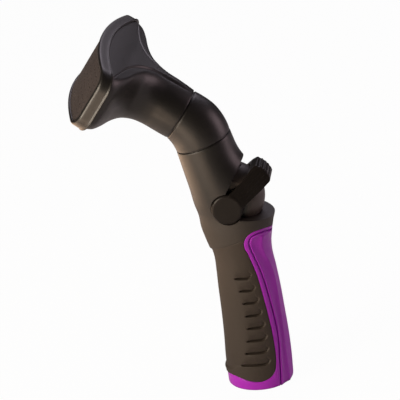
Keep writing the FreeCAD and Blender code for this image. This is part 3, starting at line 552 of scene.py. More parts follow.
RUBBER_TONES = ((0.030, 0.0228, 0.0178), (0.040, 0.0306, 0.0242))
rubber = moulded("soft_touch_rubber", RUBBER_TONES, 0.55, 0.12, 0.02, 0.00045, 0.00005, shine=0.3)

SEAM_FRONT, SEAM_FRONT_X, SEAM_SECTION = 98.0, -21.2, 100.0
SEAM_RISE = 0.384
THUMB_STEPS = table(  # height of each slot, and its two ends round from the back
    "up right left", (18.6, 20.7, 38.6), (27.2, 20.7, 35.2), (36, 20.7, 33.3),
    (44.8, 20.7, 32.2), (53.6, 21.4, 32.2), (62.5, 22.2, 32.9), (71.2, 23.2, 34.2),
    (79.8, 24.7, 36.4),
)
STEP_ROWS = (  # height above the slot, and depth: the slot first, then the ramp
    (-0.85, 0), (-0.68, 0.1), (-0.6, 1), (-0.4, 3), (0, 3.2), (0.4, 3), (0.52, 1.3),
    (0.68, 1.15), (1.1, 1), (1.8, 0.84), (2.6, 0.68), (2.95, 0.62), (3.15, 0.42), (4, 0.28),
    (4.9, 0.1), (5.7, 0),
)
SLOT_TOP = 0.55
COLLAR_LINE = table(
    "round up", (18, 18.6), (32, 18.2), (39, 17.9), (43, 16.4), (48.3, 14.2), (60, 13))
COLLAR_PROUD, BEAD_PROUD, WAIST_DEPTH = 0.7, 0.35, 0.9
FRONT_FROM, FRONT_TO = 34.0, 50.0


def seam_height(round_way):
    """Height of the seam between grip and housing."""
    back_way = skin(round_way / MEAN_RADIUS, SEAM_SECTION).x - SEAM_FRONT_X
    return SEAM_FRONT + back_way * SEAM_RISE


def along_run(run, height):
    """How far round a falling run lies at a height."""
    for high, low in zip(run, run[1:]):
        if low.y <= height <= high.y:
            return high.lerp(low, (high.y - height) / max(high.y - low.y, 1e-9)).x
    return run[0].x if height > run[0].y else run[-1].x


def height_on_run(run, round_way):
    """Height of a run at a distance round from the back."""
    for near, far in zip(run, run[1:]):
        if near.x <= round_way <= far.x:
            return near.lerp(far, (round_way - near.x) / max(far.x - near.x, 1e-9)).y
    return run[-1].y


fillet_end = TOP_STEPS + SIDE_STEPS + FILLET_STEPS
lowest = min(range(fillet_end, len(outer_edge)), key=lambda number: outer_edge[number].y)
CORNER_STEPS = 8
side_run = outer_edge[TOP_STEPS - CORNER_STEPS:lowest + 1]
ring_run = outer_edge[lowest:]
GRIP_LOW = outer_edge[lowest].y
GRIP_HIGH = SEAM_FRONT
LOW_EDGE = ((0.0, 1.2), (0.03, 0.45), (0.2, 0.12), (0.5, 0.0))  # height past the edge, and inset
HIGH_EDGE = ((-0.15, 0.0), (-0.04, 0.04), (0.02, 0.2), (0.02, 1.3))
ROWS_BELOW, ROWS_ABOVE = 17, 10

grip_rows = [(GRIP_LOW + rise, inset, None) for rise, inset in LOW_EDGE]
grip_rows += [(GRIP_LOW + 1.1 + 0.6 * number, 0.0, None) for number in range(ROWS_BELOW)]
for number, thumb in enumerate(THUMB_STEPS):
    grip_rows += [(thumb["up"] + rise, depth, number) for rise, depth in STEP_ROWS]
top_row = grip_rows[-1][0]
grip_rows += [(top_row + (GRIP_HIGH - 0.6 - top_row) * (number + 1) / ROWS_ABOVE, 0.0, None)
              for number in range(ROWS_ABOVE)]
grip_rows += [(GRIP_HIGH + rise, inset, None) for rise, inset in HIGH_EDGE]

TO_END = (0.4, 0.65, 0.85, 0.95)
PAST_END = (-0.1, 0.1, 0.28, 0.46, 0.64, 0.82, 1.1, 1.7, 2.4)
ROUND_TAIL = (-1.6, -0.9, -0.45, 0.0, 0.45, 1.2, 2.4)
TO_TAIL, TO_FRONT = 7, 18
LEVEL_FROM, LEVEL_TO = 15.0, 84.0
HOOK_RISE, HOOK_WIDTH = 0.8, 2.2  # each row turns up at its end by the border
BOW_AT, BOW_MOST, BOW_BELOW, BOW_ABOVE = 1.7, 1.5, 0.5, 0.22  # the end of a thumb step is bowed
LEAST_EDGE, LEAST_SLOT = 1.6, 9.0


def grip_columns(start, end, tail):
    """Distances round from the back of one row's points, with the inset of the border's edge."""
    spots = [(start + distance, inset) for distance, inset in ROUND_EDGE]
    begin = spots[-1][0]
    spots += [(begin + (end - begin) * share, 0.0) for share in TO_END]
    spots += [(end + distance, 0.0) for distance in PAST_END]
    begin, finish = spots[-1][0], tail + ROUND_TAIL[0]
    spots += [(begin + (finish - begin) * number / TO_TAIL, 0.0) for number in range(1, TO_TAIL)]
    spots += [(tail + distance, 0.0) for distance in ROUND_TAIL]
    begin = spots[-1][0]
    spots += [(begin + (HALF_ROUND - begin) * number / TO_FRONT, 0.0)
              for number in range(1, TO_FRONT + 1)]
    return spots


def grip_height(base, spot, end):
    """Height of a row at a distance round: level on the thumb steps, along both edges elsewhere."""
    low = height_on_run(ring_run, spot) if spot > ring_run[0].x else GRIP_LOW
    stretched = low + (seam_height(spot) - low) * (base - GRIP_LOW) / (GRIP_HIGH - GRIP_LOW)
    follow = step(base, GRIP_LOW, LEVEL_FROM) * (1 - step(base, LEVEL_TO, GRIP_HIGH))
    level = base + HOOK_RISE * step(end + HOOK_WIDTH - spot, 0.0, HOOK_WIDTH)
    return max(stretched + (level - stretched) * follow, low + (base - GRIP_LOW) * 0.5)


def grip_point(column, row):
    """Rows follow the thumb steps, columns follow the border and the steps' two ends."""
    base, depth, number = grip_rows[row]
    end = between(THUMB_STEPS, "up", "right", base)
    tail = between(THUMB_STEPS, "up", "left", base)
    bow = BOW_MOST
    if number is not None:
        rise = base - THUMB_STEPS[number]["up"]
        bow = min((BOW_BELOW if rise < BOW_AT else BOW_ABOVE) * (rise - BOW_AT) ** 2, BOW_MOST)
    end += bow
    start = end - 3.0
    for _ in range(5):
        start = along_run(side_run, grip_height(base, start, end))
    end = max(end, start + LEAST_EDGE)
    tail = max(tail, end + LEAST_SLOT)
    spot, inset = grip_columns(start, end, tail)[column]
    up = grip_height(base, spot, end)
    if number is None:
        inset = max(inset, depth)
    else:
        slot = depth > 0.8 and rise < SLOT_TOP
        fade_from, fade_to = (tail - 1.2, tail + 0.3) if slot else (tail - 4.5, tail + 0.5)
        reach = step(spot, end - 0.1, end + 0.9)
        inset += depth * reach * (1 - step(spot, fade_from, fade_to))
    front = step(spot, FRONT_FROM, FRONT_TO)
    line = between(COLLAR_LINE, "round", "up", spot)
    inset -= COLLAR_PROUD * front * (1 - step(up, line - 0.2, line + 0.5))
    inset -= BEAD_PROUD * step(spot, 46.0, 56.0) * math.exp(-((up - line + 0.9) / 1.1) ** 2)
    inset += WAIST_DEPTH * front * step(up, 64.0, 97.0)
    return on_form(Vector((spot, up)), inset)


grip = cloth_of(len(grip_columns(0.0, 5.0, 20.0)), len(grip_rows), grip_point)
mirrored(grip)
settle("soft_grip_moulding", grip, rubber, "sprayer", "soft_grip", "soft_grip", crease=55)

# Upper housing
# Two black halves with no visible parting line, satin above and duller towards the grip. They
# are opened at the back for the valve barrel and sunk at both sides for the lever's discs.
SATIN_TONES = ((0.0065, 0.0056, 0.0052), (0.0095, 0.0082, 0.0075))
satin = moulded("satin_black_plastic", SATIN_TONES, 0.36, 0.1, 0.018, 0.0005, 0.000025, shine=0.55)

matte = Finish("matte_housing_plastic", shine=0.45)
cloud = matte.noise(0.018, 3.0)
height_up = matte.node("ShaderNodeSeparateXYZ", {}, {0: matte.place()}, output=2)
lower = matte.node("ShaderNodeMapRange", {"interpolation_type": "SMOOTHSTEP"}, {
    "Value": height_up, "From Min": 0.136, "From Max": 0.106})
dull_tone = matte.blend(cloud, (0.024, 0.0185, 0.0148), (0.031, 0.0240, 0.0190))
matte.show(
    color=matte.blend(lower, matte.blend(cloud, *SATIN_TONES), dull_tone),
    roughness=0.36 + lower * 0.24 + cloud * 0.08,
    height=matte.noise(0.0005, 2.0, 0.6),
    depth=0.00003,
)

HOUSING_AROUND, HOUSING_ROWS = 168, 70
FOOT_EDGE = ((0.02, 1.4), (0.02, 0.2), (0.06, 0.05), (0.18, 0.0))
COLLAR_EDGE = ((0.75, 0.0), (0.42, 0.1), (0.28, 0.35), (0.28, 2.6))
PIVOT = Vector((-5.3, 0.0, 128.6))
RECESS_RADIUS = 10.4
BARREL_CENTRE = Vector((-5.1, 0.0, 131.0))
BARREL_RADIUS, BARREL_HALF, BARREL_POWER, BARREL_AROUND = 22.2, 16.0, 2.3, 120
BARREL_GAP, BARREL_OPENING = 0.5, 13.6
RECESS_FLOOR = 13.2
PAST_ALL = 40.0  # beyond the housing's sides
NOTCH = (
    (-5.6, 138.2), (3.5, 153.4), (60, 207.4), (60, 110.8), (22.2, 117.2), (1.9, 120.7),
    (-2, 130),
)
BACK_LOW, BACK_HALF = 106.5, 20.0  # where the housing's edge leaves the back shell for the seam


def housing_foot(turn):
    """Height of the housing's lower edge: over the back shell, then along the grip's seam."""
    spot = min(turn, 2 * math.pi - turn) * MEAN_RADIUS
    seam = seam_height(spot)
    over = [point for point in outer_edge[:TOP_STEPS] if point.y > BACK_LOW]
    if spot > over[-1].x:
        return seam
    top = height_on_run(over, spot)
    return max(top, seam) if spot > BACK_HALF else top


def housing_point(column, row):
    turn = 2 * math.pi * (column % HOUSING_AROUND) / HOUSING_AROUND
    foot = housing_foot(turn)
    if row < len(FOOT_EDGE):
        rise, inset = FOOT_EDGE[row]
        return skin(turn, foot + rise, inset)
    low, high = foot + FOOT_EDGE[-1][0], COLLAR_UP - COLLAR_EDGE[0][0]
    row -= len(FOOT_EDGE)
    if row < HOUSING_ROWS:
        return skin(turn, low + (high - low) * (row + 1) / (HOUSING_ROWS + 1))
    drop, inset = COLLAR_EDGE[row - HOUSING_ROWS]
    return skin(turn, COLLAR_UP - drop, inset)


def carved(base, tool, operation="DIFFERENCE"):
    """The base less the tool, or joined with it or cut to it, as a new bmesh. Both go."""
    objects = []
    for bm in (base, tool):
        bmesh.ops.recalc_face_normals(bm, faces=bm.faces)
        objects.append(stand("carving", as_mesh("carving", bm)))
    cutter = objects[0].modifiers.new("cut", "BOOLEAN")
    cutter.operation = operation
    cutter.solver = "EXACT"
    cutter.object = objects[1]
    bpy.context.view_layer.update()
    bm = bmesh.new()
    bm.from_mesh(objects[0].evaluated_get(bpy.context.evaluated_depsgraph_get()).to_mesh())
    for made in objects:
        data = made.data
        bpy.data.objects.remove(made)
        bpy.data.meshes.remove(data)
    return bm


def prism(outline, low, high, upright=False):
    """A bar along Y with a side outline of (x, z) corners, or upright on a plan of (x, y)."""
    bm = bmesh.new()
    corners = [(a, b, low) if upright else (a, low, b) for a, b in outline]
    face = bm.faces.new([bm.verts.new(corner) for corner in corners])
    top = bmesh.ops.extrude_face_region(bm, geom=[face])["geom"]
    way = (0, 0, high - low) if upright else (0, high - low, 0)
    bmesh.ops.translate(bm, vec=way, verts=[g for g in top if isinstance(g, bmesh.types.BMVert)])
    return bm


TO_SIDE = Matrix.Rotation(math.pi / 2, 4, "X")


def round_bar(radius, centre, low, high, segments=96):
    """A cylinder along Y between two values of y."""
    bm = bmesh.new()
    place = Matrix.Translation((centre.x, (low + high) / 2, centre.z)) @ TO_SIDE
    bmesh.ops.create_cone(bm, cap_ends=True, segments=segments, radius1=radius, radius2=radius,
                          depth=high - low, matrix=place)
    return bm


def barrel_reach(y, grow=0.0):
    """Radius of the barrel's full, flat-sided form at a distance from the middle plane."""
    part = min(abs(y) / (BARREL_HALF + grow), 1.0)
    return (BARREL_RADIUS + grow) * (1 - part ** BARREL_POWER) ** (1 / BARREL_POWER)


def capped(bm):
    """Closes the open ends of a tube."""
    bmesh.ops.holes_fill(bm, edges=[edge for edge in bm.edges if edge.is_boundary], sides=0)
    return bm


def barrel_form(grow, half, across=40):
    """The barrel as a closed turned form along Y, cut off flat at both ends."""
    def where(column, row):
        y = -half * math.cos(math.pi * row / across)
        turn = 2 * math.pi * column / BARREL_AROUND
        reach = barrel_reach(y, grow)
        return BARREL_CENTRE + Vector((reach * math.cos(turn), y, reach * math.sin(turn)))

    return capped(cloth_of(BARREL_AROUND + 1, across + 1, where, loop=True))


housing_rows = len(FOOT_EDGE) + HOUSING_ROWS + len(COLLAR_EDGE)
housing = capped(cloth_of(HOUSING_AROUND + 1, housing_rows, housing_point, loop=True))
housing = carved(housing, barrel_form(BARREL_GAP, BARREL_OPENING))
housing = carved(housing, prism(NOTCH, -PAST_ALL, PAST_ALL))
for low, high in ((-PAST_ALL, -RECESS_FLOOR), (RECESS_FLOOR, PAST_ALL)):
    housing = carved(housing, round_bar(RECESS_RADIUS, PIVOT, low, high))
bmesh.ops.remove_doubles(housing, verts=housing.verts, dist=0.01)
settle("upper_housing", housing, matte.material, "sprayer", "housing",
       "body_shell_left", "body_shell_right", crease=32)

# Core end
# The lower end of the two housing halves, the plain black ring seen round the hose inlet from
# below, between the inlet and the foot ring.
CORE_AROUND = 96
CORE_PROFILE = ((16.15, 9.0), (16.15, 1.9), (16.5, 1.6), (17.2, 1.6), (18.2, 1.8), (18.2, 9.0))
CORE_INSET = 1.4
BORE, LAST = CORE_PROFILE[0][0], CORE_PROFILE[-1][0]


def core_point(column, row):
    """Round at the inlet's bore, and of the handle's own form at the foot ring."""
    turn = 2 * math.pi * column / CORE_AROUND
    radius, height = CORE_PROFILE[row]
    outer = skin(turn, 3.0, CORE_INSET)
    inner = Vector((BORE * math.cos(turn), -BORE * math.sin(turn), 0.0))
    spot = inner.lerp(outer, (radius - BORE) / (LAST - BORE))
    return Vector((spot.x, spot.y, height))


core = cloth_of(CORE_AROUND + 1, len(CORE_PROFILE), core_point, loop=True)
settle("handle_core_end", core, satin, "sprayer", "housing", crease=50)

# Valve barrel
# The rounded valve housing between the lever's arms, a turned skin of black plastic,
# open at both flat sides where the bushes sit. Its colour is painted light: lighter and
# browner than the housing's black, so that the barrel, which lies in shade between the arms,
# looks lit.
# Painted light: these tones are brighter than the housing's black to stand in for light on the
# shaded barrel.
BARREL_LIT_TONES = ((0.038, 0.029, 0.025), (0.048, 0.037, 0.032))
lit_barrel_plastic = moulded("barrel_plastic_painted_light", BARREL_LIT_TONES, 0.4, 0.08, 0.012, 0.0005, 0.00003, shine=0.5)

BARREL_ROWS = 44
SIDE_OPENING = 10.6
SIDE_HALF, SIDE_WALL = 12.9, 1.5


def barrel_ring(column, row):
    """Rows run over the barrel from side to side, and at each end in over its flat side."""
    turn = 2 * math.pi * column / BARREL_AROUND
    way = Vector((math.cos(turn), 0, math.sin(turn)))
    side = -1 if row < 2 else 1
    if row in (0, BARREL_ROWS - 1):
        return PIVOT + way * SIDE_OPENING + Vector((0, side * (SIDE_HALF - SIDE_WALL), 0))
    if row in (1, BARREL_ROWS - 2):
        return PIVOT + way * SIDE_OPENING + Vector((0, side * SIDE_HALF, 0))
    y = -SIDE_HALF * math.cos(math.pi * (row - 2) / (BARREL_ROWS - 5))
    return BARREL_CENTRE + way * barrel_reach(y) + Vector((0, y, 0))


barrel = cloth_of(BARREL_AROUND + 1, BARREL_ROWS, barrel_ring, loop=True)
settle("valve_barrel", barrel, lit_barrel_plastic, "sprayer", "valve_housing", crease=30)

# Elbow
# The bent neck, a plain tube of the housing's satin plastic, a little fuller in the middle of
# its bend. Both ends are rounded, with a spigot behind the fine gap to the next moulding.
BEND_RADIUS, NECK_LEAN, HEAD_LEAN = 34.8, 16.1, 52.8
ELBOW_FORM = table(
    "share inside outside side", (0, 18.5, 17.4, 17.9), (0.3, 18.3, 18, 17.9),
    (0.55, 17.9, 18, 17.6), (0.8, 17.4, 17.2, 17.2), (1, 16.9, 16.6, 16.8),
)
ELBOW_AROUND, ELBOW_MIDDLE = 120, 30
ELBOW_EDGE = (  # share of the bend, and inset
    (-0.03, 0.9), (0.018, 0.9), (0.018, 0.35), (0.023, 0.1), (0.034, 0))
neck = Vector((-16.8, 0.0, 169.2))


def slope_axes(lean):
    """The out and along directions of a section that leans forward, lean in degrees."""
    angle = math.radians(lean)
    out = Vector((math.cos(angle), 0, math.sin(angle)))
    return out, Vector((-out.z, 0, out.x))


bend_centre = neck - slope_axes(NECK_LEAN)[0] * BEND_RADIUS


def elbow_point(column, row):
    turn = 2 * math.pi * column / ELBOW_AROUND
    last = 2 * len(ELBOW_EDGE) + ELBOW_MIDDLE - 1
    if row < len(ELBOW_EDGE):
        share, inset = ELBOW_EDGE[row]
    elif last - row < len(ELBOW_EDGE):
        share, inset = ELBOW_EDGE[last - row]
        share = 1 - share
    else:
        low = ELBOW_EDGE[-1][0]
        share = low + (1 - 2 * low) * (row - len(ELBOW_EDGE) + 1) / (ELBOW_MIDDLE + 1)
        inset = 0.0
    out, _ = slope_axes(NECK_LEAN + (HEAD_LEAN - NECK_LEAN) * share)
    bend_side = "outside" if math.cos(turn) > 0 else "inside"
    reach = between(ELBOW_FORM, "share", bend_side, share) - inset
    side = between(ELBOW_FORM, "share", "side", share) - inset
    return (bend_centre + out * (BEND_RADIUS + reach * math.cos(turn))
            + Vector((0, side * math.sin(turn), 0)))


elbow_rows = 2 * len(ELBOW_EDGE) + ELBOW_MIDDLE
elbow = capped(cloth_of(ELBOW_AROUND + 1, elbow_rows, elbow_point, loop=True))
settle("neck_bend", elbow, satin, "sprayer", "head_plastic", "neck_elbow", crease=50)

# Fan head
# One hollow moulding: a round sleeve that flares into a wide flat fan. A flat tongue starts
# narrow on the sleeve and widens to the whole mouth, above and below, with a soft valley beside it.
HEAD_FORM = table(
    "at wide top bottom round tongue half",
    (0, 16.7, 16.9, 16.8, 16.5, 16.95, 2.5),
    (6, 16.8, 17.5, 16.9, 16.4, 18, 3.4),
    (12, 16.8, 17.9, 16.8, 16.3, 18.6, 3.9),
    (18.3, 17, 18, 16.7, 16, 18.7, 4.4),
    (26.7, 20, 18.1, 16.8, 15.2, 18.8, 5.7),
    (33.3, 26.5, 18.1, 17.4, 14, 18.85, 9),
    (37.6, 36, 18.2, 17.9, 13, 18.9, 13.6),
    (40.8, 46.5, 18.4, 18.2, 12.2, 19, 18.9),
    (44.5, 55.3, 18.7, 18.7, 11.4, 19.1, 27.8),
    (47.4, 58, 19, 19, 10.8, 19.3, 40.2),
    (49.4, 58.7, 19.25, 19.25, 10.4, 19.45, 50.5),
    (54, 59, 19.6, 19.6, 10.1, 19.7, 60),
    (72, 59, 20, 20, 10, 20, 70),
)
FACE_RADIUS, FACE_DISTANCE = 153.0, 67.0
RIM_DEPTH, RIM_OVERLAP = 6.5, 0.6
SLEEVE_RADIUS = 16.5
SLEEVE_EDGE = ((0.3, 2.6), (0.3, 0.35), (0.42, 0.1), (0.75, 0.0))  # way along, and inset
head_out, head_along = slope_axes(HEAD_LEAN)
head_start = bend_centre + head_out * BEND_RADIUS
TONGUE_COLUMNS = 7
VALLEY_COLUMNS = (-3.4, -2.7, -2.1, -1.5, -1.0, -0.5, 0.0, 0.5, 1.0, 1.6, 2.3, 3.2)
VALLEY_DIP = 0.4
SIDE_COLUMNS = 26
QUARTER = TONGUE_COLUMNS + len(VALLEY_COLUMNS) + SIDE_COLUMNS
HEAD_ROWS = 66
BENDS_FROM, HEAD_END = 26.0, 61.0  # rows bend to the face's curve between these
HEAD_HALF = 59.0


def in_head(thick, wide, at):
    """From the head's own directions to the sprayer's frame."""
    return head_start + head_out * thick + Vector((0, wide, 0)) + head_along * at


def face_reach(wide, depth):
    """Distance from the joint to a surface at a depth behind the curved face."""
    return FACE_DISTANCE - FACE_RADIUS + math.sqrt((FACE_RADIUS - depth) ** 2 - wide * wide)


def round_corner(wide, thick, corner, walked):
    """A point on a quarter of a rounded rectangle, walked from the middle of its top."""
    flat, arc, side = wide - corner, corner * math.pi / 2, thick - corner
    if walked < flat:
        return walked, thick
    if walked < flat + arc:
        turn = (walked - flat) / corner
        return flat + corner * math.sin(turn), side + corner * math.cos(turn)
    return wide, side - (walked - flat - arc)


def head_outline(column, at, level):
    """Half width and half thickness of the head's skin for one column of a quarter."""
    size = {name: between(HEAD_FORM, "at", name, at) for name in HEAD_FORM[0]}
    thick, flat = size[level], size["wide"] - size["round"]
    whole = flat + size["round"] * math.pi / 2 + thick - size["round"]
    crease = min(size["half"], flat + size["round"] * 0.75)
    narrow = min(1.0, crease / 5.0)
    if column < TONGUE_COLUMNS:
        away = -math.inf
        walked = (crease + VALLEY_COLUMNS[0] * narrow) * column / TONGUE_COLUMNS
    elif column < TONGUE_COLUMNS + len(VALLEY_COLUMNS):
        away = VALLEY_COLUMNS[column - TONGUE_COLUMNS]
        walked = crease + away * narrow
    else:
        away = VALLEY_COLUMNS[-1]
        begin = crease + away * narrow
        number = column - QUARTER + SIDE_COLUMNS + 1
        walked = begin + (whole - begin) * number / (SIDE_COLUMNS + 1)
    y, height = round_corner(size["wide"], thick, size["round"], walked)
    raised = max(size["tongue"] - size["top"], 0.0) * (1 - step(away, -2.6, 0.4))
    dip = VALLEY_DIP * math.exp(-(away / 1.3) ** 2)
    return y, height + raised - dip * step(at, 2.0, 9.0) * (1 - step(at, 46.0, 51.0))


def in_quarter(column, columns):
    """A column's number from the middle of its quarter's side, and which way across and up."""
    quarter, spot = divmod(column % (4 * columns), columns)
    if quarter % 2:
        spot = columns - spot
    return spot, *((1, 1), (1, -1), (-1, -1), (-1, 1))[quarter]


def head_point(column, row):
    """Columns run round the head in four mirrored quarters, rows from the joint to the rim."""
    spot, side, up = in_quarter(column, QUARTER)
    level = "top" if up > 0 else "bottom"
    if row < len(SLEEVE_EDGE):
        plain, inset = SLEEVE_EDGE[row]
    else:
        begin, rows = SLEEVE_EDGE[-1][0], HEAD_ROWS - len(SLEEVE_EDGE)
        plain, inset = begin + (HEAD_END - begin) * (row - len(SLEEVE_EDGE) + 1) / rows, 0.0
    at = plain
    if plain > BENDS_FROM:
        for _ in range(6):
            y = head_outline(spot, at, level)[0]
            bend = face_reach(min(y, HEAD_HALF), RIM_DEPTH - RIM_OVERLAP) - BENDS_FROM
            wanted = BENDS_FROM + (plain - BENDS_FROM) * bend / (HEAD_END - BENDS_FROM)
            at += (wanted - at) * 0.6
    y, height = head_outline(spot, at, level)
    shrink = 1 - inset / SLEEVE_RADIUS
    return in_head(up * height * shrink, side * y * shrink, at)


head = capped(cloth_of(4 * QUARTER + 1, HEAD_ROWS, head_point, loop=True))
settle("fan_head_moulding", head, satin, "sprayer", "head_plastic", "fan_head", crease=50)

# Face rim
# The band round the mouth that clamps the spray face: a little proud of the head, with a fine
# bead along its back edge, rounded front edges and a narrow lip over the face.
RIM_WIDE, RIM_THICK, RIM_CORNER = 60.0, 21.0, 11.0
RIM_PROFILE = (  # inset from the outside, depth behind the curved face
    (1.9, 6.9), (0.6, 6.9), (0.2, 6.8), (0, 6.5), (0, 6.2), (0.15, 5.95), (0.46, 5.8),
    (0.55, 5.4), (0.55, 3.4), (0.62, 1.6), (0.7, 0.9), (0.92, 0.4), (1.3, 0.1), (1.7, 0),
    (2.6, 0), (2.9, 0.08), (3.05, 0.3), (3.1, 1.35),
)
RIM_QUARTER = 48


def rim_point(column, row):
    spot, side, up = in_quarter(column, RIM_QUARTER)
    inset, depth = RIM_PROFILE[row]
    wide, thick, corner = RIM_WIDE - inset, RIM_THICK - inset, RIM_CORNER - inset
    whole = wide + thick - 2 * corner + corner * math.pi / 2
    y, height = round_corner(wide, thick, corner, whole * spot / RIM_QUARTER)
    return in_head(up * height, side * y, face_reach(y, depth))


rim = cloth_of(4 * RIM_QUARTER + 1, len(RIM_PROFILE), rim_point, loop=True)
settle("face_rim_band", rim, satin, "sprayer", "head_plastic", "face_rim", crease=60)

# Spray face
# A thin curved plate, dull brownish black, drilled all over with fine holes in even rows.
dull = Finish("dull_face_plastic")
cloud = dull.noise(0.01, 3.0)
dull.show(
    color=dull.blend(cloud, (0.034, 0.028, 0.0275), (0.045, 0.037, 0.0365)),
    roughness=0.46 + cloud * 0.1,
    height=dull.noise(0.0006),
    depth=0.00003,
)
HOLE_RADIUS, HOLE_DEPTH, HOLE_MARGIN = 0.5, 1.5, 0.9
HOLES_ACROSS, HOLES_UP = 27, 9
FACE_WIDE, FACE_THICK, FACE_CORNER = 57.6, 18.6, 8.8
BEHIND_LIP = 0.75

plate = bmesh.new()
bmesh.ops.create_grid(plate, x_segments=HOLES_ACROSS, y_segments=HOLES_UP, size=1.0)
for vertex in plate.verts:
    vertex.co = Vector((vertex.co.y * FACE_THICK, vertex.co.x * FACE_WIDE, 0.0))
bmesh.ops.subdivide_edges(plate, edges=plate.edges, cuts=1)
bmesh.ops.inset_individual(plate, faces=plate.faces, thickness=HOLE_MARGIN)
cells = [face for face in plate.faces if len(face.verts) == 8]
for cell in cells:
    middle = cell.calc_center_median()
    for vertex in cell.verts:
        vertex.co = middle + (vertex.co - middle).normalized() * HOLE_RADIUS
sunk = bmesh.ops.extrude_discrete_faces(plate, faces=cells)["faces"]
deep = {vertex for face in sunk for vertex in face.verts}
for vertex in plate.verts:
    height, wide = vertex.co.x, vertex.co.y
    past_wide = abs(wide) - (FACE_WIDE - FACE_CORNER)
    past_thick = abs(height) - (FACE_THICK - FACE_CORNER)
    past = math.hypot(past_wide, past_thick)
    if past_wide > 0 and past_thick > 0 and past > FACE_CORNER:
        pull = FACE_CORNER / past
        wide = math.copysign(FACE_WIDE - FACE_CORNER + past_wide * pull, wide)
        height = math.copysign(FACE_THICK - FACE_CORNER + past_thick * pull, height)
    depth = BEHIND_LIP + (HOLE_DEPTH if vertex in deep else 0.0)
    vertex.co = in_head(height, wide, face_reach(wide, depth))
settle("drilled_face", plate, dull.material, "sprayer", "spray_face", "spray_face", crease=35)

# Thumb lever
# Black plastic, one moulding: a round disc on each side, two arms that close in behind the barrel
# and a thumb pad with a toothed end. It is drawn with its arms along X and turned in place last.
LEVER_TURN = 36.0
ARM_LINES = (-3.2, -0.6, 2.0)  # heights of the fine lines along each arm
LINE_SHARPNESS = 9.0
LEVER_HALF = 20.0

lever_black = Finish("lever_black_plastic", shine=0.15)
cloud = lever_black.noise(0.012, 3.0)
level_spot = lever_black.node("ShaderNodeVectorRotate", {"rotation_type": "Y_AXIS"}, {
    "Vector": lever_black.place(0.001), "Center": PIVOT, "Angle": math.radians(LEVER_TURN)})
along = lever_black.node("ShaderNodeSeparateXYZ", {}, {0: level_spot}, output=0) - PIVOT.x
above = lever_black.node("ShaderNodeSeparateXYZ", {}, {0: level_spot}, output=2) - PIVOT.z
on_arm = lever_black.node("ShaderNodeMapRange", {"interpolation_type": "SMOOTHSTEP"}, {
    "Value": along, "From Min": 11.0, "From Max": 15.0})
lines = 0.0
for line_height in ARM_LINES:
    off = (above - line_height) * (above - line_height)
    lines = (1 - off * LINE_SHARPNESS).clamped() * on_arm + lines
lever_black.show(
    color=lever_black.blend(cloud, (0.0085, 0.0071, 0.0064), (0.0125, 0.0105, 0.0094)),
    roughness=0.29 + cloud * 0.08,
    height=lever_black.noise(0.0005, 2.0, 0.6) * 0.1 - lines,
    depth=0.0002,
)

HUB_AROUND = 96
HUB_PROFILE = (  # radius, distance from the middle plane
    (0, 20), (4, 20), (8.3, 20), (8.9, 19.9), (9.4, 19.6), (9.75, 19.1), (9.9, 18.4),
    (9.9, 14),
)
ARM_SIDE = (
    (0, 6.4), (7.5, 6.4), (15, 6.3), (20, 6.9), (25.5, 7.8), (29.6, 7.7), (31, 6.7),
    (32, 4.4), (32.5, 1), (32, -2.2), (30.8, -5), (29.5, -5.9), (22, -6.1),
    (8, -5.5), (0, -5.5),
)
ARM_PLAN = ((-14.0, 20.0), (7.9, 20.0), (9.5, 19.4), (29.0, 9.2), (31.0, 8.0), (33.0, 6.0))
PLAN_REACH = 30.0
CREASE_HEIGHT, CREASE_LEAN, LOWER_LEAN = -0.4, 0.11, 0.6
ROOM_RADIUS, ROOM_HALF, ROOM_FLAT = 25.4, 18.4, 13.4
TOOTH_RADIUS, TOOTH_SEGMENTS = 1.3, 24
TOOTH_GAPS = ((31.55, 6.4), (32.75, 3.7), (33.1, 0.9), (32.85, -1.9))


def hub_point(column, row):
    """Rows run over the disc on one side, then over the other."""
    side = 1 if row < len(HUB_PROFILE) else -1
    radius, height = HUB_PROFILE[row if side > 0 else 2 * len(HUB_PROFILE) - 1 - row]
    turn = 2 * math.pi * column / HUB_AROUND
    return Vector((radius * math.cos(turn), side * height, radius * math.sin(turn)))


hub = cloth_of(HUB_AROUND + 1, 2 * len(HUB_PROFILE), hub_point, loop=True)
plan = list(ARM_PLAN) + [(along, -aside) for along, aside in reversed(ARM_PLAN)]
arms = carved(prism(ARM_SIDE, -LEVER_HALF, LEVER_HALF),
              prism(plan, -PLAN_REACH, PLAN_REACH, upright=True), "INTERSECT")
bmesh.ops.bisect_plane(arms, geom=arms.verts[:] + arms.edges[:] + arms.faces[:],
                       plane_co=(0, 0, CREASE_HEIGHT), plane_no=(0, 0, 1))
for vertex in arms.verts:
    over = vertex.co.z - CREASE_HEIGHT
    lean_in = CREASE_LEAN * (over if over > 0 else -over * LOWER_LEAN)
    vertex.co.y -= math.copysign(lean_in, vertex.co.y) * step(vertex.co.x, 6.0, 10.0)
lever = carved(arms, hub, "UNION")
room = bmesh.new()
bmesh.ops.create_uvsphere(room, u_segments=96, v_segments=48, radius=ROOM_RADIUS, matrix=TO_SIDE)
bmesh.ops.scale(room, vec=(1, ROOM_HALF / ROOM_RADIUS, 1), verts=room.verts)
square = [(PAST_ALL * x, PAST_ALL * z) for x, z in ((-1, -1), (1, -1), (1, 1), (-1, 1))]
room = carved(room, prism(square, -ROOM_FLAT, ROOM_FLAT), "INTERSECT")
lever = carved(lever, room)
for along, up in TOOTH_GAPS:
    gap = round_bar(TOOTH_RADIUS, Vector((along, 0, up)), -PLAN_REACH, PLAN_REACH, TOOTH_SEGMENTS)
    lever = carved(lever, gap)
in_place = Matrix.Translation(PIVOT) @ Matrix.Rotation(math.radians(-LEVER_TURN), 4, "Y")
bmesh.ops.transform(lever, matrix=in_place, verts=lever.verts)
bmesh.ops.remove_doubles(lever, verts=lever.verts, dist=0.01)
lever_piece = settle("thumb_lever_moulding", lever, lever_black.material, "lever", "thumb_lever",
                     "thumb_lever", crease=30)
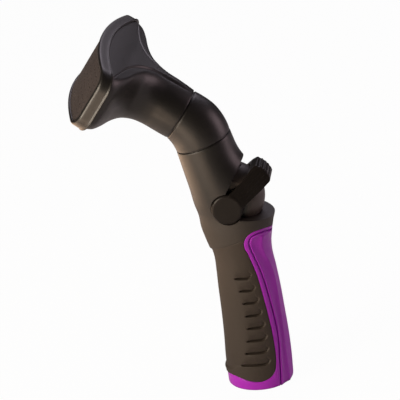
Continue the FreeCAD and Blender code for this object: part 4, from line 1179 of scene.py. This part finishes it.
remesh = lever_piece.modifiers.new("soft_edges", "REMESH")
remesh.mode = "VOXEL"
remesh.voxel_size = 0.00035
remesh.use_smooth_shade = True
relax = lever_piece.modifiers.new("relax", "SMOOTH")
relax.factor = 0.5
relax.iterations = 6

# Inner parts
# Tube, seals, plug, inlet and screen keep their machined shapes from the frame.
black_rubber = Finish("seal_rubber", (0.02, 0.02, 0.02))
black_rubber.show(
    roughness=0.55 + black_rubber.noise(0.002) * 0.15,
    height=black_rubber.noise(0.0004),
    depth=0.00003,
)
INNER_PLASTICS = (  # name, tones with their size, roughness, its spread and size, grain size
    ("natural_acetal", (0.70, 0.69, 0.64), (0.76, 0.75, 0.71), 0.006, 0.36, 0.1, 0.003, None),
    ("grey_tube_plastic", (0.42, 0.42, 0.42), (0.50, 0.50, 0.49), 0.01, 0.45, 0.1, 0.004, None),
    ("moulded_inlet_black", (0.024, 0.023, 0.022), (0.038, 0.036, 0.034), 0.008,
     0.45, 0.12, 0.005, 0.0006),
)
for name, dark, light, cloud_size, rough, spread, patch_size, grain_size in INNER_PLASTICS:
    plastic = Finish(name)
    plastic.show(
        color=plastic.blend(plastic.noise(cloud_size), dark, light),
        roughness=rough + plastic.noise(patch_size) * spread,
        height=plastic.noise(grain_size) if grain_size else None,
        depth=0.00003,
    )
steel = Finish("screen_steel", (0.6, 0.6, 0.6))
steel.shader.inputs["Metallic"].default_value = 1.0
steel.show(roughness=0.3 + steel.noise(0.001) * 0.2)

FINISHES = {
    "seal_rubber": (
        "seat_seals", "plug_o_rings", "neck_o_ring", "head_o_ring", "face_seal", "tube_o_rings",
        "hose_washer"),
    "natural_acetal": ("valve_plug",),
    "grey_tube_plastic": ("water_tube",),
    "moulded_inlet_black": ("hose_inlet", "plug_bushes"),
    "screen_steel": ("filter_screen",),
    "satin_black_plastic": ("valve_body",),
}
for material_name, node_names in FINISHES.items():
    for node_name in node_names:
        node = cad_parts[node_name]
        node.data.materials.clear()
        node.data.materials.append(bpy.data.materials[material_name])

bpy.context.view_layer.update()
